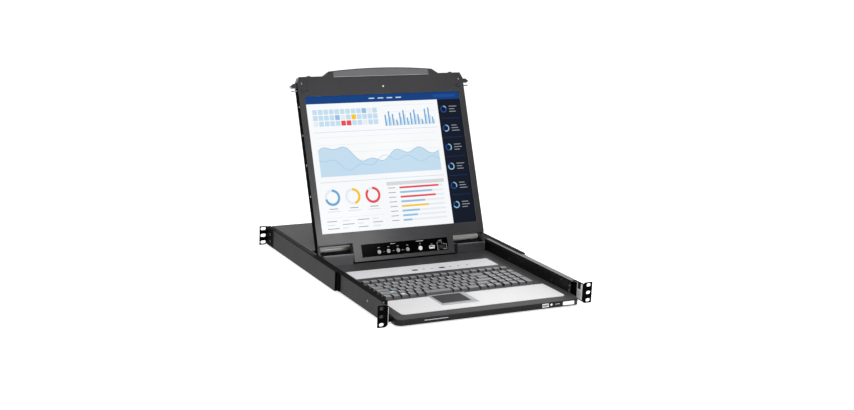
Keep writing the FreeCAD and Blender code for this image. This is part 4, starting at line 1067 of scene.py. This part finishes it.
N = 70
xs = [cx0 + (cx1 - cx0) * i / N for i in range(N + 1)]
rings = []
for x in xs:
    top = wave(x, 0.52, 0.24, 0.4)
    a = -SXH + x
    rings.append([(a, WF - 0.04, SV1 - top), (a, WF - 0.04, SV1 - cy1), (a, WF - 0.01, SV1 - cy1), (a, WF - 0.01, SV1 - top)])
p.add(loft(rings), "ui_line2")
ui_line([(x, wave(x, 0.52, 0.24, 0.4)) for x in xs], 0.9, "ui_sky", 3)
ui_line([(x, wave(x, 0.34, 0.16, 2.0)) for x in xs], 0.9, "ui_line", 4)
# lower band: three dials, then a stack of level bars
ui_rect(10, 190, NX - 8, 190.5, "ui_sky", 1)
for i, (share, m) in enumerate(((0.72, "ui_sky"), (0.46, "ui_yellow"), (0.88, "ui_red"))):
    cx, cy = 34 + 48.0 * i, 224
    ui_arc(cx, cy, 12.5, 18.0, 0, 359.9, "ui_pale", 1, 48)
    ui_arc(cx, cy, 12.5, 18.0, 0, 360 * share, m, 2, 40)
    ui_rect(cx - 10, cy + 24, cx + 10, cy + 25.8, "ui_text", 1, 0.8)
    ui_rect(cx - 15, cy + 30, cx + 15, cy + 31.4, "ui_grey", 1, 0.6)
ui_rect(166, 198, NX - 10, 206, "ui_grey", 1)
for i in range(8):
    y = 211 + 10.4 * i
    ui_rect(168, y, 186, y + 1.6, "ui_text", 1, 0.7)
    ui_rect(196, y - 1.0, NX - 14, y + 3.2, "ui_pale", 1, 1.6)
    L = (NX - 14 - 196) * (0.9, 0.74, 0.81, 0.55, 0.62, 0.4, 0.34, 0.2)[i]
    ui_rect(196, y - 1.0, 196 + L, y + 3.2, "ui_red" if i in (0, 2) else "ui_yellow" if i == 4 else "ui_line", 2, 1.6)
ui_rect(12, 268, 152, 268.4, "ui_grey", 1)
for i in range(3):
    for k in range(4):
        ui_rect(14 + 36 * k, 275 + 8 * i, 14 + 36 * k + (24, 18, 28, 14)[(k + i) % 4], 276.6 + 8 * i, "ui_grey" if (k + i) % 2 else "ui_text", 1, 0.7)
display = p.done("lid", ["lcd_panel"], 30, weighted=False)
display.visible_diffuse = display.visible_glossy = False

NODES["backlight_unit"].data.materials.clear()
NODES["backlight_unit"].data.materials.append(M["backlight"])
for n in ("panel_board", "switch_board"):
    NODES[n].data.materials.clear()
    NODES[n].data.materials.append(M["board"])
NODES["power_supply"].data.materials.clear()
NODES["power_supply"].data.materials.append(M["sheet"])
NODES["slide_ball_cages"].data.materials.clear()
NODES["slide_ball_cages"].data.materials.append(M["port_steel"])

# status lamp in the bezel
p = Piece("bezel_lamp", LID)
p.add(lathe([(1.9, -0.6), (1.9, 0.25), (1.6, 0.3), (1.5, 0.15), (0.9, 0.35), (0, 0.42)], (0, 0.0, 319.5), (0, -1, 0), 24), "lens")
p.done("lid", [])

# control plate with its prints
BX = (-62.3, -39.6, -16.4, 6.8)
BV, PWX, PTX = -48.6, 38.1, 66.6
bm = node_mesh("control_plate", LID)
soften(bm, 0.15, 1, 60, lambda e: max(v.co.y for v in e.verts) < -0.55)
p = Piece("control_panel", LID)
p.add(bm, "gloss")
FW = -0.6


def print_rect(x0, x1, v0, v1, m="print_white"):
    p.add(box(x0, x1, FW - 0.04, FW + 0.02, v0, v1), m)


for i, x in enumerate(BX):
    print_rect(x - 2.6 + 0.5 * (i % 2), x + 2.6, BV + 9.2, BV + 10.2)
for a, b in ((BX[1], BX[2]), (BX[2], BX[3])):
    print_rect((a + b) / 2 - 2.6, (a + b) / 2 + 2.6, BV - 0.3, BV + 0.3)
print_rect((BX[0] + BX[1]) / 2 - 1.0, (BX[0] + BX[1]) / 2 + 1.0, BV - 0.3, BV + 0.3)
print_rect(-34.0, -22.0, -33.6, -32.4)
print_rect(29.5, 46.7, -33.2, -31.8)
# power sign: a ring with a bar
pr = []
for i in range(25):
    a = math.radians(35 + 290 * i / 24)
    pr.append((PWX + math.sin(a) * 1.5, BV + 10.4 + math.cos(a) * 1.5))
rings = []
for x, v in pr:
    dx, dv = x - PWX, v - (BV + 10.4)
    k = 1.28
    rings.append([(x, FW - 0.04, v), (PWX + dx * k, FW - 0.04, BV + 10.4 + dv * k), (PWX + dx * k, FW + 0.02, BV + 10.4 + dv * k), (x, FW + 0.02, v)])
p.add(loft(rings), "print_white")
print_rect(PWX - 0.2, PWX + 0.2, BV + 10.6, BV + 12.6)
print_rect(PTX - 2.4, PTX + 2.4, BV + 6.4, BV + 7.2)
# bracket lines round the slide switch
for x0, x1, v0, v1 in ((80.2, 80.8, -56.2, -38.6), (80.2, 90.4, -39.2, -38.6), (80.2, 83.0, -56.2, -55.6), (91.6, 92.2, -43.4, -38.6),
                       (94.0, 103.4, -43.6, -43.0), (102.8, 103.4, -54.6, -43.0), (94.0, 103.4, -55.2, -54.6)):
    print_rect(x0, x1, v0, v1)
print_rect(84.0, 92.4, -35.6, -34.8)
# a near-black sheet behind the switch slot: painted shade
p.add(box(82.5, 104.0, 3.45, 3.7, -55.0, -44.0), "recess_shade")
p.done("lid", ["control_plate"], 35)

for i, x in enumerate(BX):
    p = Piece("menu_button_%d" % (i + 1), LID)
    p.add(lathe([(5.6, -3.3), (5.6, -2.5), (4.5, -2.5), (4.5, 0.95), (4.2, 1.35), (3.5, 1.58), (3.1, 1.52), (1.6, 1.42), (0, 1.4)], (x, 0, BV), (0, -1, 0), 40), "button",
          lambda f: "button_rim" if f.calc_center_median().y > -1.0 else None)
    p.done("osd_button_%d" % (i + 1), ["osd_button_%d" % (i + 1)], 50)
p = Piece("power_key", LID)
p.add(lathe([(6.0, -3.3), (6.0, -2.5), (5.0, -2.5), (5.0, 0.9), (4.7, 1.3), (4.0, 1.58), (3.4, 1.5), (1.8, 1.36), (0, 1.32)], (PWX, 0, BV), (0, -1, 0), 40), "button_bright",
      lambda f: "button_rim" if f.calc_center_median().y > -0.9 else None)
p.done("power_button", ["power_button"], 50)

bm = node_mesh("service_port", LID)
soften(bm, 0.25, 2, 50, lambda e: max(v.co.y for v in e.verts) < -0.85)
p = Piece("service_socket", LID)
p.add(bm, "white_port")
p.add(box(PTX - 5.2, PTX + 5.2, 0.0, 4.6, BV - 1.9, BV + 0.5, 0.1), "white_port")
# a near-black sheet behind the socket: painted shade
p.add(box(PTX - 5.78, PTX + 5.78, 4.0, 4.5, BV - 2.58, BV + 2.58), "recess_shade")
p.done("lid", ["service_port"])
bm = node_mesh("mode_switch", LID)
soften(bm, 0.4, 2, 50, lambda e: max(v.co.y for v in e.verts) < -1.0)
p = Piece("switch_knob", LID)
p.add(bm, "black")
p.done("mode_switch", ["mode_switch"])

# latches, pins and screws
for s, side in ((-1, "left"), (1, "right")):
    bm = node_mesh("latch_" + side, LID)
    soften(bm, 0.35, 2, 40)
    p = Piece("latch_slide_" + side, LID)
    p.add(bm, "lid", lambda f: "rail" if abs(f.calc_center_median().x) > 203.6 else None)
    a, b = sorted((s * 175.5, s * 198.0))
    p.add(box(a, b, 2.4, 3.2, 311.8, 320.0, 0.2), "lid")
    p.done("latch_" + side, ["latch_" + side])
p = Piece("guide_pins", LID)
for s in (-1, 1):
    p.add(lathe([(1.6, 0), (1.6, 15.3), (1.1, 16.2), (0, 16.3)], (s * 200.9, 6.2, 316.0), (s, 0, 0), 24), "rail")
p.done("lid", ["lid_guide_pins"])
p = Piece("side_fixings", LID)
for s in (-1, 1):
    for v in (84.0, 152.0, 217.5, 280.5):
        p.add(screw_head(2.0, 0.4, (s * 203.5, 4.6, v), (s, 0, 0), v), "screw_bright")
    p.add(screw_head(2.0, 1.0, (s * 193.0, 1.2, 331.0), (0, -1, 0), 0.5), "screw_bright")
p.done("lid", ["lid_screws"])

# ================================================================== STAGE
me = bpy.data.meshes.new("floor")
bm = bmesh.new()
bmesh.ops.create_grid(bm, x_segments=1, y_segments=1, size=12.0)
bmesh.ops.translate(bm, verts=bm.verts, vec=(0, 0.3, CAD_BOX[0].z - 0.0004))
bm.to_mesh(me)
bm.free()
floor = bpy.data.objects.new("floor", me)
bpy.context.scene.collection.objects.link(floor)
fm, nt, bs = base_material("floor_pale")
bs.inputs["Base Color"].default_value = (0.62, 0.62, 0.62, 1)
bs.inputs["Roughness"].default_value = 0.9
bs.inputs["Specular IOR Level"].default_value = 0.1
bs.inputs["Emission Color"].default_value = (1, 1, 1, 1)
bs.inputs["Emission Strength"].default_value = 0.72
me.materials.append(fm)

world = bpy.data.worlds.new("studio")
bpy.context.scene.world = world
world.use_nodes = True
nt = world.node_tree
nt.nodes.clear()
out = nt.nodes.new("ShaderNodeOutputWorld")
seen = nt.nodes.new("ShaderNodeBackground")
seen.inputs["Color"].default_value = (1, 1, 1, 1)
room = nt.nodes.new("ShaderNodeBackground")
path = nt.nodes.new("ShaderNodeLightPath")
mixs = nt.nodes.new("ShaderNodeMixShader")
nt.links.new(path.outputs["Is Camera Ray"], mixs.inputs["Fac"])
nt.links.new(room.outputs[0], mixs.inputs[1])
nt.links.new(seen.outputs[0], mixs.inputs[2])
nt.links.new(mixs.outputs[0], out.inputs["Surface"])
tc = nt.nodes.new("ShaderNodeTexCoord")
sep = nt.nodes.new("ShaderNodeSeparateXYZ")
nt.links.new(tc.outputs["Generated"], sep.inputs["Vector"])


def wmath(op, a, b):
    m = nt.nodes.new("ShaderNodeMath")
    m.operation = op
    for k, v in enumerate((a, b)):
        if isinstance(v, (int, float)):
            m.inputs[k].default_value = v
        else:
            nt.links.new(v, m.inputs[k])
    return m.outputs[0]


# bright backdrop behind and a softer glow overhead and on the left; the front of the room is dim
rear = to_range(nt, sep.outputs["Y"], 0.0, 1.05, 0.15, 0.75)
over = to_range(nt, sep.outputs["Z"], 0.0, 0.55, 0.45, 0.95)
left = to_range(nt, sep.outputs["X"], 0.14, 0.0, -0.9, 0.1)
amount = wmath("ADD", wmath("ADD", wmath("MAXIMUM", rear, over), left), 0.03)
nt.links.new(amount, room.inputs["Strength"])
room.inputs["Color"].default_value = (1, 1, 1, 1)


def area(name, at, look, size, power):
    l = bpy.data.lights.new(name, "AREA")
    l.shape, l.size, l.size_y, l.energy = "RECTANGLE", size[0], size[1], power
    o = bpy.data.objects.new(name, l)
    o.location = at
    o.rotation_mode = "QUATERNION"
    o.rotation_quaternion = (Vector(look) - Vector(at)).to_track_quat("-Z", "Y")
    bpy.context.scene.collection.objects.link(o)
    return o


area("key", (-1.6, -1.6, 2.2), (0, 0.2, 0), (1.6, 1.6), 30)
area("front", (0.5, -2.6, 1.0), (0, 0.3, 0.1), (1.2, 1.2), 14)
area("top", (-0.1, 0.0, 2.6), (0, 0.15, 0), (1.4, 1.4), 42)
area("corner_card", (0.079, -0.098, 0.304), (-0.155, 0.39, 0.045), (0.18, 0.08), 0.6)
area("top_card", (0.36, -0.21, 0.76), (0.0, 0.51, 0.36), (0.5, 0.2), 0.25)

# camera at the measured viewing angle
az, el, roll = math.radians(-27.61), math.radians(13.27), math.radians(2.35)
back = Vector((math.sin(az) * math.cos(el), -math.cos(az) * math.cos(el), math.sin(el)))
right = (-back).cross(Z).normalized()
up = right.cross(-back)
c, s = math.cos(roll), math.sin(roll)
cx_, cy_ = c * right + s * up, -s * right + c * up
cam_data = bpy.data.cameras.new("camera")
cam = bpy.data.objects.new("camera", cam_data)
bpy.context.scene.collection.objects.link(cam)
cam.matrix_world = Matrix(((cx_.x, cy_.x, back.x, -1.30110), (cx_.y, cy_.y, back.y, -2.20795), (cx_.z, cy_.z, back.z, 0.79812), (0, 0, 0, 1)))
cam_data.sensor_width = 36.0
cam_data.lens = 57.5
cam_data.clip_start, cam_data.clip_end = 0.05, 60.0
bpy.context.scene.camera = cam
bpy.context.scene.view_settings.view_transform = "Standard"
